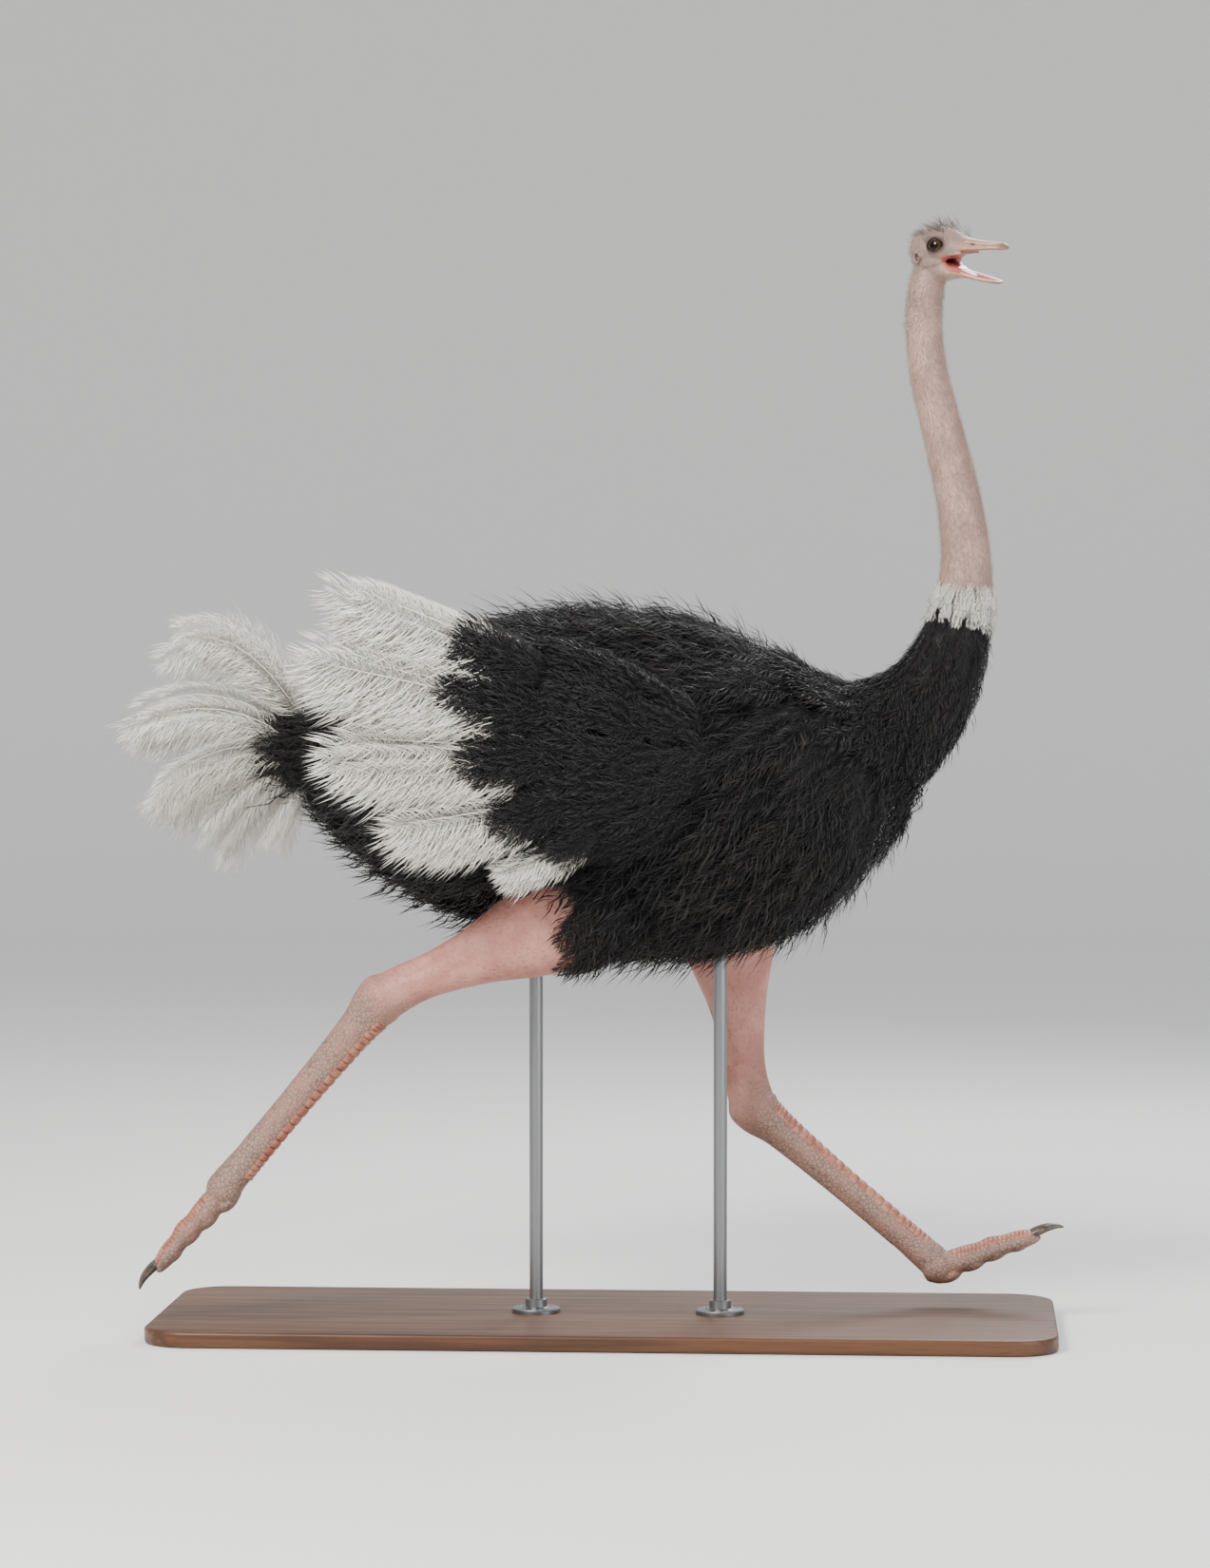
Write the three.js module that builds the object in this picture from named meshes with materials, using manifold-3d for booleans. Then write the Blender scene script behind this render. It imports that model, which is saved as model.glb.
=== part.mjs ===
// An adult male ostrich at a full run, life size, as a still museum model on a plain display stand.
// Millimetres, +Z up. The bird faces +X, +Y is its left side, and the origin is the centre of the
// base's underside. The feathered pieces have the outer shape of the coat.
import * as THREE from "three";
import { mergeVertices } from "three/addons/utils/BufferGeometryUtils.js";
import Module from "manifold-3d";

const wasm = await Module();
wasm.setup();

// ---- Driving dimensions ----

const SEAM = 0.35; // clear gap between two pieces that meet
const LEFT = 1;
const RIGHT = -1;
const ACROSS = new THREE.Vector3(0, 1, 0); // the bird's left-right axis

const BASE = { length: 1700, width: 620, thick: 30, corner: 90, bevel: 5 };
const ROD = { radius: 13, front: 215, rear: -135, intoBody: 95 };
const FLANGE = { radius: 46, thick: 8, collar: 21, height: 26 };

const HIP = { x: -60, y: 120, z: 1080 };
const TIBIA = 520; // knee to hock
const TARSUS = 470; // hock to the root of the toes
const TOE = { inner: 205, outer: 122, spread: 24, claw: 62, nail: 26 };
const EYE = { x: 15, y: 25, z: 8, radius: 22.5 };
const JAW = { x: -18, z: -20, open: 21 }; // the jaw's hinge, and how far it hangs open in degrees
const HEAD = { x: 630, y: -14, z: 2038, yaw: -40, pitch: -3, roll: 6 };

// ---- Materials ----

const finish = (color, roughness, metalness = 0) =>
  new THREE.MeshStandardMaterial({ color, roughness, metalness });
const skin = finish(0xc98f7f, 0.6);
const down = finish(0xb49a8a, 0.85);
const blackPlumage = finish(0x17151a, 0.85);
const whitePlumage = finish(0xe9e4da, 0.9);
const horn = finish(0xb8806a, 0.45);
const clawHorn = finish(0x4a3c34, 0.4);
const eyeGloss = finish(0x1b0f0a, 0.08);
const mouth = finish(0xc56f6b, 0.35);
const steel = finish(0xb6b8ba, 0.3, 1);
const wood = finish(0x4b3527, 0.5);

// ---- Making solids ----

const DOME_RINGS = [0, 48]; // where a dome's rings lie, in degrees round from its rim

const vec = (x, y, z) => new THREE.Vector3(x, y, z);
const sideName = (side) => (side === LEFT ? "left" : "right");
const turn = (degrees) => THREE.MathUtils.degToRad(degrees);

// A closed geometry as a solid that can be joined and cut.
function solidOf(geometry) {
  const bare = geometry.clone();
  bare.deleteAttribute("normal");
  bare.deleteAttribute("uv");
  const merged = mergeVertices(bare, 1e-3);
  const mesh = new wasm.Mesh({
    numProp: 3,
    vertProperties: new Float32Array(merged.attributes.position.array),
    triVerts: new Uint32Array(merged.index.array),
  });
  return new wasm.Manifold(mesh);
}

// The largest body of a solid, as a geometry.
function geometryOf(solid) {
  const bodies = solid.decompose().sort((a, b) => b.volume() - a.volume());
  const mesh = bodies[0].getMesh();
  const geometry = new THREE.BufferGeometry();
  geometry.setAttribute("position", new THREE.BufferAttribute(mesh.vertProperties, 3));
  geometry.setIndex(new THREE.BufferAttribute(mesh.triVerts, 1));
  geometry.computeVertexNormals();
  return geometry;
}

// A closed surface over rings of points: each ring is joined to the next, and each end to one point.
function surfaceOver(rings, startPoint, endPoint) {
  const sides = rings[0].length;
  const points = [startPoint, ...rings.flat(), endPoint];
  const last = points.length - 1;
  const faces = [];
  for (let s = 0; s < sides; s++) {
    const next = (s + 1) % sides;
    faces.push(0, 1 + next, 1 + s);
    for (let r = 0; r < rings.length - 1; r++) {
      const here = 1 + r * sides;
      const there = here + sides;
      faces.push(here + s, here + next, there + s);
      faces.push(here + next, there + next, there + s);
    }
    faces.push(last, last - sides + s, last - sides + next);
  }
  const geometry = new THREE.BufferGeometry();
  geometry.setFromPoints(points);
  geometry.setIndex(faces);
  return geometry;
}

// A body lofted along stations { at, wide, tall } or { at, wide, top, bottom }, all half sizes, where
// wide runs along the across axis. An end is flat, or a dome of the depth given.
function loft(stations, { sides, steps = 1, domes = [0, 0], from = 0, to = 1, across = ACROSS }, grow = 0) {
  const path = new THREE.CatmullRomCurve3(stations.map((s) => vec(...s.at)));
  const girths = new THREE.CatmullRomCurve3(
    stations.map((s) => vec(s.wide, s.top ?? s.tall, s.bottom ?? s.tall)),
  );
  const count = Math.max(2, Math.round((stations.length - 1) * steps * (to - from)) + 1);
  const ringAt = (t, shift, scale) => {
    const along = path.getTangent(t);
    const centre = path.getPoint(t).addScaledVector(along, shift);
    const side = across.clone().addScaledVector(along, -across.dot(along)).normalize();
    const up = along.clone().cross(side).normalize();
    const girth = girths.getPoint(t);
    return Array.from({ length: sides }, (_, i) => {
      const angle = (2 * Math.PI * i) / sides;
      const rise = Math.sin(angle);
      const tall = (rise > 0 ? girth.y : girth.z) + grow;
      return centre
        .clone()
        .addScaledVector(side, (girth.x + grow) * Math.cos(angle) * scale)
        .addScaledVector(up, tall * rise * scale);
    });
  };
  const end = (t, sign, depth) => {
    const along = path.getTangent(t);
    const pole = path.getPoint(t).addScaledVector(along, sign * (depth + grow));
    if (depth === 0) return { pole, rings: [ringAt(t, sign * grow, 1)] };
    const lifts = DOME_RINGS.map(turn);
    const dome = lifts.map((a) => ringAt(t, sign * (depth + grow) * Math.sin(a), Math.cos(a)));
    return { pole, rings: dome };
  };
  const start = end(from, -1, domes[0]);
  const finishEnd = end(to, 1, domes[1]);
  const middle = [];
  for (let i = 1; i < count - 1; i++) middle.push(ringAt(from + ((to - from) * i) / (count - 1), 0, 1));
  const rings = [...start.rings.reverse(), ...middle, ...finishEnd.rings];
  return solidOf(surfaceOver(rings, start.pole, finishEnd.pole));
}

// A squashed ball at a point, with half sizes along X, Y and Z.
function ball([x, y, z], [halfX, halfY, halfZ], detail, grow = 0) {
  const sphere = new THREE.SphereGeometry(1, detail, Math.round(detail * 0.6));
  sphere.scale(halfX + grow, halfY + grow, halfZ + grow);
  sphere.translate(x, y, z);
  return solidOf(sphere);
}

// A shape in its true size, and the same grown by the seam to cut what it meets.
const shaped = (build) => ({ solid: build(0), grown: build(SEAM) });
const cutBy = (solid, ...shapes) => shapes.reduce((rest, shape) => rest.subtract(shape.grown), solid);
const placed = (solid, matrix) => solid.transform(matrix.elements);
const placedShape = ({ solid, grown }, matrix) => ({
  solid: placed(solid, matrix),
  grown: placed(grown, matrix),
});

function piece(name, solid, material, group) {
  const mesh = new THREE.Mesh(geometryOf(solid), material);
  mesh.name = name;
  group.add(mesh);
  return mesh;
}

const bird = new THREE.Group();

// ---- Trunk ----

const trunkStations = [
  { at: [-572, 0, 1092], wide: 66, tall: 58 },
  { at: [-524, 0, 1092], wide: 128, top: 112, bottom: 128 },
  { at: [-420, 0, 1084], wide: 196, top: 204, bottom: 208 },
  { at: [-260, 0, 1064], wide: 256, top: 284, bottom: 276 },
  { at: [-60, 0, 1045], wide: 290, top: 336, bottom: 330 },
  { at: [140, 0, 1040], wide: 294, top: 326, bottom: 340 },
  { at: [310, 0, 1045], wide: 266, top: 262, bottom: 305 },
  { at: [440, 0, 1055], wide: 212, top: 172, bottom: 232 },
  { at: [520, 0, 1062], wide: 142, top: 100, bottom: 148 },
  { at: [556, 0, 1065], wide: 78, top: 58, bottom: 82 },
];
const trunk = shaped((grow) => loft(trunkStations, { sides: 18, domes: [14, 10] }, grow));

// ---- Neck: one curve, parted into three lengths ----

const neckStations = [
  { at: [400, 0, 1085], wide: 128, tall: 150 },
  { at: [505, 0, 1118], wide: 104, tall: 122 },
  { at: [597, 0, 1190], wide: 78, tall: 90 },
  { at: [654, 0, 1300], wide: 58, tall: 66 },
  { at: [676, 0, 1430], wide: 46, tall: 51 },
  { at: [664, 0, 1560], wide: 41, tall: 44 },
  { at: [634, 0, 1690], wide: 38, tall: 40 },
  { at: [604, 0, 1815], wide: 36, tall: 37 },
  { at: [596, 2, 1922], wide: 34.5, tall: 35 },
  { at: [609, 2, 2002], wide: 32, tall: 33 },
];
const NECK_PARTS = [
  { name: "neck_lower", from: 0, to: 0.4, material: blackPlumage },
  { name: "neck_middle", from: 0.4, to: 0.7, material: skin },
  { name: "neck_upper", from: 0.7, to: 1, material: skin },
];
const seamShare = SEAM / 1000; // the seam as a share of the neck's length of about a metre

// ---- Head, in its own frame: X towards the bill, origin between the eyes ----

const headStations = [
  { at: [-58, 0, 3], wide: 24, top: 23, bottom: 26 },
  { at: [-46, 0, 3], wide: 35, top: 33, bottom: 36 },
  { at: [-24, 0, 3], wide: 42, top: 40, bottom: 41 },
  { at: [2, 0, 2], wide: 43.5, top: 42, bottom: 38 },
  { at: [26, 0, 0], wide: 40, top: 36, bottom: 32 },
  { at: [46, 0, -2], wide: 35, top: 27, bottom: 24 },
  { at: [62, 0, -3], wide: 31, top: 19, bottom: 13 },
];
const throatStations = [
  { at: [-40, 0, -12], wide: 33, tall: 34 },
  { at: [-12, 0, -26], wide: 35, tall: 30 },
  { at: [18, 0, -38], wide: 33, tall: 21 },
  { at: [44, 0, -49], wide: 25, tall: 10 },
];
const billUpperStations = [
  { at: [62, 0, -3], wide: 31, top: 19, bottom: 10 },
  { at: [82, 0, -4.5], wide: 29.5, top: 15, bottom: 8.5 },
  { at: [106, 0, -6.5], wide: 27.5, top: 11.5, bottom: 7 },
  { at: [128, 0, -8.5], wide: 23.5, top: 9.5, bottom: 6 },
  { at: [144, 0, -10], wide: 16, top: 7.5, bottom: 6 },
  { at: [151, 0, -11.5], wide: 9, top: 5.5, bottom: 5.5 },
];
// The lower bill is in the jaw's frame: origin at its hinge, X along the closed bill.
const billLowerStations = [
  { at: [30, 0, -2], wide: 32.5, top: 5, bottom: 11 },
  { at: [56, 0, -1.5], wide: 31, top: 5, bottom: 9.5 },
  { at: [88, 0, 0], wide: 28.5, top: 4.5, bottom: 8 },
  { at: [122, 0, 1.5], wide: 25, top: 4, bottom: 6.5 },
  { at: [146, 0, 3], wide: 19, top: 3.5, bottom: 5.5 },
  { at: [157, 0, 4], wide: 11, top: 3, bottom: 4 },
];
const tongueStations = [
  { at: [44, 0, 6.5], wide: 14, tall: 3.4 },
  { at: [64, 0, 8], wide: 15, tall: 3.6 },
  { at: [84, 0, 8.2], wide: 13, tall: 3 },
  { at: [98, 0, 7.6], wide: 8, tall: 2 },
];

const headFrame = new THREE.Group();
headFrame.position.set(HEAD.x, HEAD.y, HEAD.z);
headFrame.rotation.set(turn(HEAD.roll), turn(HEAD.pitch), turn(HEAD.yaw), "ZYX");
headFrame.updateMatrix();
const jawFrame = new THREE.Group();
jawFrame.position.set(JAW.x, 0, JAW.z);
jawFrame.rotation.y = turn(JAW.open);
jawFrame.updateMatrix();

const billLower = shaped((grow) => loft(billLowerStations, { sides: 12, domes: [0, 4] }, grow));
const billInHead = placedShape(billLower, jawFrame.matrix);
const eyes = [RIGHT, LEFT].map((side) => ({
  side,
  ...shaped((grow) => ball([EYE.x, side * EYE.y, EYE.z], Array(3).fill(EYE.radius), 11, grow)),
}));

// A low ring of skin round the opening of the ear.
function earRim(side, grow) {
  const ring = new THREE.TorusGeometry(6.5, 2.6 + grow, 5, 9);
  ring.scale(1, 1.35, 1);
  ring.rotateX(turn(90));
  ring.translate(-27, side * 38.8, -8);
  return solidOf(ring);
}
const ears = [RIGHT, LEFT].map((side) => ({ side, ...shaped((grow) => earRim(side, grow)) }));

// The open mouth: a wedge that widens forwards from the corner of the gape.
function mouthWedge() {
  const corner = vec(24, -15, 0);
  const reach = 60;
  const outline = new THREE.Shape();
  outline.moveTo(corner.x, corner.y);
  outline.lineTo(corner.x + reach, corner.y - reach * Math.tan(turn(JAW.open + 4)) - 8);
  outline.lineTo(corner.x + reach, corner.y + 1);
  outline.closePath();
  const wedge = new THREE.ExtrudeGeometry(outline, { depth: 120, bevelEnabled: false });
  wedge.rotateX(turn(90));
  wedge.translate(0, 60, 0);
  return solidOf(wedge);
}

const skull = shaped((grow) =>
  loft(headStations, { sides: 14, domes: [9, 0] }, grow).add(
    loft(throatStations, { sides: 9, domes: [10, 6] }, grow),
  ),
);
const headSolid = cutBy(skull.solid.subtract(mouthWedge()), billInHead, ...eyes, ...ears);
piece("head", headSolid, down, headFrame);
const billUpper = loft(billUpperStations, { sides: 12, domes: [0, 4] }, 0);
piece("bill_upper", billUpper.translate([SEAM, 0, 0]), horn, headFrame);
for (const eye of eyes) piece(`eye_${sideName(eye.side)}`, eye.solid, eyeGloss, headFrame);
for (const ear of ears) piece(`ear_${sideName(ear.side)}`, ear.solid, skin, headFrame);
piece("bill_lower", billLower.solid, horn, jawFrame);
const tongue = loft(tongueStations, { sides: 8, domes: [4, 4] }, 0);
const skullInJaw = placedShape(skull, jawFrame.matrix.clone().invert());
piece("tongue", cutBy(tongue, billLower, skullInJaw), mouth, jawFrame);
headFrame.add(jawFrame);
bird.add(headFrame);

const skullInBird = placedShape(skull, headFrame.matrix);
for (const part of NECK_PARTS) {
  const from = part.from === 0 ? 0 : part.from + seamShare;
  const length = loft(neckStations, { sides: 11, steps: 2, from, to: part.to }, 0);
  piece(part.name, cutBy(length, trunk, skullInBird), part.material, bird);
}

// ---- Legs ----

// A point a share of the way from one joint to the next.
const between = (a, b, share) => a.clone().lerp(b, share).toArray();

// Where a leg's joints are: the far (left) leg reaches forward, the near (right) leg trails.
function jointsOf(side, { kneeX, kneeY, kneeZ, tibiaFall, tibiaTurn, tarsusFall, tarsusTurn, inwards }) {
  const knee = vec(kneeX, side * kneeY, kneeZ);
  const stepTo = (start, length, fall, heading, drift) =>
    start.clone().add(
      vec(
        heading * length * Math.cos(turn(fall)),
        -side * drift,
        -length * Math.sin(turn(fall)),
      ),
    );
  const hock = stepTo(knee, TIBIA, tibiaFall, tibiaTurn, inwards);
  const foot = stepTo(hock, TARSUS, tarsusFall, tarsusTurn, inwards);
  return { hip: vec(HIP.x, side * HIP.y, HIP.z), knee, hock, foot };
}

const FORWARD = 1;
const BACKWARD = -1;
const LEGS = [
  {
    name: "leg_left",
    side: LEFT,
    toeAim: { x: Math.cos(turn(24)), z: Math.sin(turn(24)) }, // toes lifted to land
    ...jointsOf(LEFT, {
      kneeX: 196, kneeY: 172, kneeZ: 925, inwards: 18,
      tibiaFall: 82, tibiaTurn: FORWARD, tarsusFall: 40, tarsusTurn: FORWARD,
    }),
  },
  {
    name: "leg_right",
    side: RIGHT,
    toeAim: { x: -Math.cos(turn(44)), z: -Math.sin(turn(44)) }, // toes trail after the push
    ...jointsOf(RIGHT, {
      kneeX: 66, kneeY: 182, kneeZ: 852, inwards: 12,
      tibiaFall: 24, tibiaTurn: BACKWARD, tarsusFall: 50, tarsusTurn: BACKWARD,
    }),
  },
];

// One leg from the swell of the drumstick, over the hock, to the root of the toes.
function shinStations({ knee, hock, foot }) {
  const tibia = (share) => between(knee, hock, share);
  const tarsus = (share) => between(hock, foot, share);
  return [
    { at: tibia(0.0), wide: 84, tall: 96 },
    { at: tibia(0.2), wide: 92, tall: 108 },
    { at: tibia(0.42), wide: 72, tall: 86 },
    { at: tibia(0.62), wide: 46, tall: 56 },
    { at: tibia(0.82), wide: 32, tall: 38 },
    { at: tibia(0.95), wide: 37, tall: 42 },
    { at: tarsus(0.03), wide: 40, tall: 46 },
    { at: tarsus(0.16), wide: 29, tall: 34 },
    { at: tarsus(0.45), wide: 24, tall: 28 },
    { at: tarsus(0.78), wide: 26, tall: 28 },
    { at: tarsus(0.97), wide: 34, tall: 31 },
  ];
}
const thighStations = ({ hip, knee }) => [
  { at: hip.toArray(), wide: 100, tall: 138 },
  { at: between(hip, knee, 0.5), wide: 106, tall: 142 },
  { at: knee.toArray(), wide: 88, tall: 104 },
];
const SHIN_PARTS = [
  { name: "shank", from: 0.3, to: 0.5 },
  { name: "hock", from: 0.5, to: 0.7 },
  { name: "tarsus", from: 0.7, to: 1 },
];

// The foot in its own frame: X along the big toe, Z out of its back, origin in the knuckle.
const knuckleStations = [
  { at: [-26, 0, 4], wide: 34, tall: 30 },
  { at: [2, 0, -2], wide: 38, top: 34, bottom: 36 },
  { at: [30, 0, -8], wide: 37, top: 28, bottom: 28 },
];
const innerToeStations = [
  { at: [22, 0, -8], wide: 33, top: 28, bottom: 25 },
  { at: [62, 0, -11], wide: 35, top: 25, bottom: 23 },
  { at: [104, 0, -13], wide: 32, top: 24, bottom: 22 },
  { at: [150, 0, -18], wide: 29, top: 20, bottom: 18 },
  { at: [188, 0, -24], wide: 23, top: 16, bottom: 13 },
];
const outerToeStations = [
  { at: [12, 0, -6], wide: 20, top: 19, bottom: 19 },
  { at: [50, 0, -11], wide: 21, top: 16, bottom: 16 },
  { at: [86, 0, -14], wide: 19, top: 15, bottom: 14 },
  { at: [112, 0, -18], wide: 15, top: 12, bottom: 11 },
];
// A claw curves down and forward from the end of its toe to a blunt point.
const clawStations = (start, length, width) => [
  { at: [start, 0, -14], wide: width, tall: width * 0.62 },
  { at: [start + length * 0.4, 0, -17], wide: width * 0.86, tall: width * 0.52 },
  { at: [start + length * 0.75, 0, -23], wide: width * 0.5, tall: width * 0.34 },
  { at: [start + length, 0, -31], wide: width * 0.16, tall: width * 0.14 },
];

for (const leg of LEGS) {
  const shin = shinStations(leg);
  const shinPart = (from, to, ends) => (grow) =>
    loft(shin, { sides: 9, steps: 1.5, domes: ends, from, to }, grow);
  const thigh = shaped((grow) =>
    loft(thighStations(leg), { sides: 12, steps: 2, domes: [70, 66] }, grow).add(
      shinPart(0, SHIN_PARTS[0].from, [70, 0])(grow),
    ),
  );
  piece(leg.name + "_thigh", cutBy(thigh.solid, trunk), skin, bird);

  const footFrame = new THREE.Group();
  const aim = vec(leg.toeAim.x, 0, leg.toeAim.z);
  const back = vec(-leg.toeAim.z, 0, leg.toeAim.x).multiplyScalar(leg.toeAim.x > 0 ? 1 : -1);
  const out = back.clone().cross(aim);
  footFrame.matrix.makeBasis(aim, out, back).setPosition(leg.foot);
  footFrame.matrix.decompose(footFrame.position, footFrame.quaternion, footFrame.scale);
  const knuckle = shaped((grow) => loft(knuckleStations, { sides: 9, domes: [14, 12] }, grow));
  const inner = shaped((grow) => loft(innerToeStations, { sides: 9, domes: [6, 10] }, grow));
  const outward = new THREE.Matrix4()
    .makeRotationZ(turn(TOE.spread) * leg.side)
    .setPosition(0, leg.side * 16, 0);
  const outer = placedShape(
    shaped((grow) => loft(outerToeStations, { sides: 8, domes: [6, 8] }, grow)),
    outward,
  );
  const claw = shaped((grow) =>
    loft(clawStations(TOE.inner - 20, TOE.claw, 17), { sides: 8, domes: [4, 2] }, grow),
  );
  const nail = placedShape(
    shaped((grow) => loft(clawStations(TOE.outer - 10, TOE.nail, 9), { sides: 6, domes: [2, 1] }, grow)),
    outward,
  );
  piece(leg.name + "_knuckle", knuckle.solid, skin, footFrame);
  piece(leg.name + "_toe_inner", cutBy(inner.solid, knuckle, claw), skin, footFrame);
  piece(leg.name + "_toe_outer", cutBy(outer.solid, knuckle, inner, nail), skin, footFrame);
  piece(leg.name + "_claw_inner", claw.solid, clawHorn, footFrame);
  piece(leg.name + "_claw_outer", nail.solid, clawHorn, footFrame);
  bird.add(footFrame);

  const footInBird = [knuckle, inner, outer].map((shape) => placedShape(shape, footFrame.matrix));
  for (const part of SHIN_PARTS) {
    const length = shinPart(part.from + seamShare, part.to, [0, 0])(0);
    piece(leg.name + "_" + part.name, cutBy(length, trunk, thigh, ...footInBird), skin, bird);
  }
}

// ---- Plumes: a curved, flattened lobe that widens from its root to a round tip ----

function plume({ root, bend, tip, wide, tall }, grow) {
  const spine = new THREE.QuadraticBezierCurve3(vec(...root), vec(...bend), vec(...tip));
  const stations = [0, 0.3, 0.65, 1].map((share) => {
    const swell = 0.42 + 0.58 * Math.sin((Math.PI / 2) * Math.min(1, share / 0.7));
    return { at: spine.getPoint(share).toArray(), wide: wide * swell, tall: tall * swell };
  });
  return loft(stations, { sides: 8, domes: [0, tall * 0.9] }, grow);
}

// ---- Wings: held a little open, the arm in short black coverts, the plumes white ----

const LEFT_DROOP = 45; // the left wing's plumes hang this much lower than the right's
const WING_PLUMES = [
  { root: [-90, 356, 1246], bend: [-285, 400, 1330], tip: [-462, 425, 1390], wide: 24, tall: 56 },
  { root: [-92, 352, 1176], bend: [-300, 398, 1226], tip: [-520, 425, 1276], wide: 26, tall: 68 },
  { root: [-78, 346, 1096], bend: [-265, 388, 1092], tip: [-478, 412, 1096], wide: 27, tall: 74 },
  { root: [-54, 338, 1018], bend: [-205, 372, 965], tip: [-378, 394, 950], wide: 27, tall: 62 },
  { root: [0, 328, 962], bend: [-92, 350, 902], tip: [-195, 366, 880], wide: 25, tall: 50 },
];
const wingJoints = {
  shoulder: [240, 205, 1120],
  elbow: [-42, 318, 1000],
  wrist: [-66, 345, 1142],
  handTip: [-92, 356, 1248],
};

function wing(name, side) {
  const onSide = ([x, y, z]) => [x, side * y, z];
  const limb = (start, end, wide, tall, dome) => (grow) =>
    loft(
      [
        { at: onSide(start), wide, tall: tall[0] },
        { at: between(vec(...onSide(start)), vec(...onSide(end)), 0.5), wide: wide * 1.1, tall: tall[1] },
        { at: onSide(end), wide, tall: tall[2] },
      ],
      { sides: 9, domes: dome },
      grow,
    );
  const { shoulder, elbow, wrist, handTip } = wingJoints;
  const upperArm = shaped((grow) =>
    limb(shoulder, elbow, 40, [78, 104, 84], [60, 60])(grow).add(
      ball(onSide([46, 302, 1088]), [160, 44, 156], 11, grow),
    ),
  );
  const forearm = shaped(limb(elbow, wrist, 34, [76, 78, 66], [40, 30]));
  const hand = shaped(limb(wrist, handTip, 27, [60, 54, 40], [24, 24]));
  piece(name + "_upper_arm", cutBy(upperArm.solid, trunk), blackPlumage, bird);
  piece(name + "_forearm", cutBy(forearm.solid, trunk, upperArm), blackPlumage, bird);
  piece(name + "_hand", cutBy(hand.solid, trunk, upperArm, forearm), blackPlumage, bird);
  const done = [trunk, upperArm, forearm, hand];
  WING_PLUMES.forEach((form, index) => {
    const droop = side === LEFT ? LEFT_DROOP : 0;
    const held = ([x, y, z], share) => onSide([x, y, z - droop * share]);
    const [root, bend, tip] = [held(form.root, 0), held(form.bend, 0.5), held(form.tip, 1)];
    const lobe = shaped((grow) => plume({ ...form, root, bend, tip }, grow));
    piece(`${name}_plume_${index + 1}`, cutBy(lobe.solid, ...done), whitePlumage, bird);
    done.push(lobe);
  });
}
wing("wing_right", RIGHT);
wing("wing_left", LEFT);

// ---- Tail: a stub that lifts five broad drooping plumes ----

const TAIL_PLUMES = [
  { root: [-566, 0, 1140], bend: [-690, 0, 1368], tip: [-846, 0, 1290], wide: 96, tall: 50 },
  { root: [-592, 0, 1116], bend: [-745, 0, 1232], tip: [-908, 0, 1128], wide: 108, tall: 53 },
  { root: [-596, 0, 1090], bend: [-735, 0, 1112], tip: [-868, 0, 984], wide: 104, tall: 53 },
  { root: [-588, 0, 1064], bend: [-684, 0, 1034], tip: [-764, 0, 905], wide: 92, tall: 48 },
  { root: [-566, 0, 1042], bend: [-620, 0, 988], tip: [-655, 0, 902], wide: 76, tall: 42 },
];
const tailStub = shaped((grow) =>
  loft(
    [
      { at: [-500, 0, 1094], wide: 82, tall: 84 },
      { at: [-578, 0, 1100], wide: 66, tall: 64 },
      { at: [-632, 0, 1106], wide: 48, tall: 44 },
    ],
    { sides: 9, domes: [0, 16] },
    grow,
  ),
);
piece("tail_stub", cutBy(tailStub.solid, trunk), blackPlumage, bird);
const tailDone = [trunk, tailStub];
TAIL_PLUMES.forEach((form, index) => {
  const lobe = shaped((grow) => plume(form, grow));
  piece(`tail_plume_${index + 1}`, cutBy(lobe.solid, ...tailDone), whitePlumage, bird);
  tailDone.push(lobe);
});

// ---- Stand: a flat base, and two rods that run up into the body ----

function basePlate() {
  const { length, width, thick, corner, bevel } = BASE;
  const x = length / 2 - bevel;
  const y = width / 2 - bevel;
  const outline = new THREE.Shape();
  outline.moveTo(-x + corner, -y);
  outline.lineTo(x - corner, -y);
  outline.absarc(x - corner, -y + corner, corner, -Math.PI / 2, 0);
  outline.lineTo(x, y - corner);
  outline.absarc(x - corner, y - corner, corner, 0, Math.PI / 2);
  outline.lineTo(-x + corner, y);
  outline.absarc(-x + corner, y - corner, corner, Math.PI / 2, Math.PI);
  outline.lineTo(-x, -y + corner);
  outline.absarc(-x + corner, -y + corner, corner, Math.PI, 1.5 * Math.PI);
  const plate = new THREE.ExtrudeGeometry(outline, {
    depth: thick - 2 * bevel,
    bevelThickness: bevel,
    bevelSize: bevel,
    bevelSegments: 1,
    curveSegments: 3,
  });
  plate.translate(0, 0, bevel);
  return solidOf(plate);
}

function rod(x, grow) {
  const foot = BASE.thick + SEAM;
  const bottomOfBody = trunkStations[5].at[2] - trunkStations[5].bottom;
  const height = bottomOfBody + ROD.intoBody - foot;
  const bar = new THREE.CylinderGeometry(ROD.radius + grow, ROD.radius + grow, height + grow, 12);
  bar.rotateX(turn(90));
  bar.translate(x, 0, foot + (height + grow) / 2);
  return solidOf(bar);
}

function flange(x) {
  const { radius, thick, collar, height } = FLANGE;
  const profile = [
    [0, 0],
    [radius, 0],
    [radius, thick - 2],
    [radius - 2, thick],
    [collar, thick],
    [collar, height],
    [0, height],
  ].map(([r, h]) => new THREE.Vector2(r, h));
  const turned = new THREE.LatheGeometry(profile, 12);
  turned.rotateX(turn(90));
  turned.translate(x, 0, BASE.thick + SEAM);
  return solidOf(turned);
}

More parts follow.
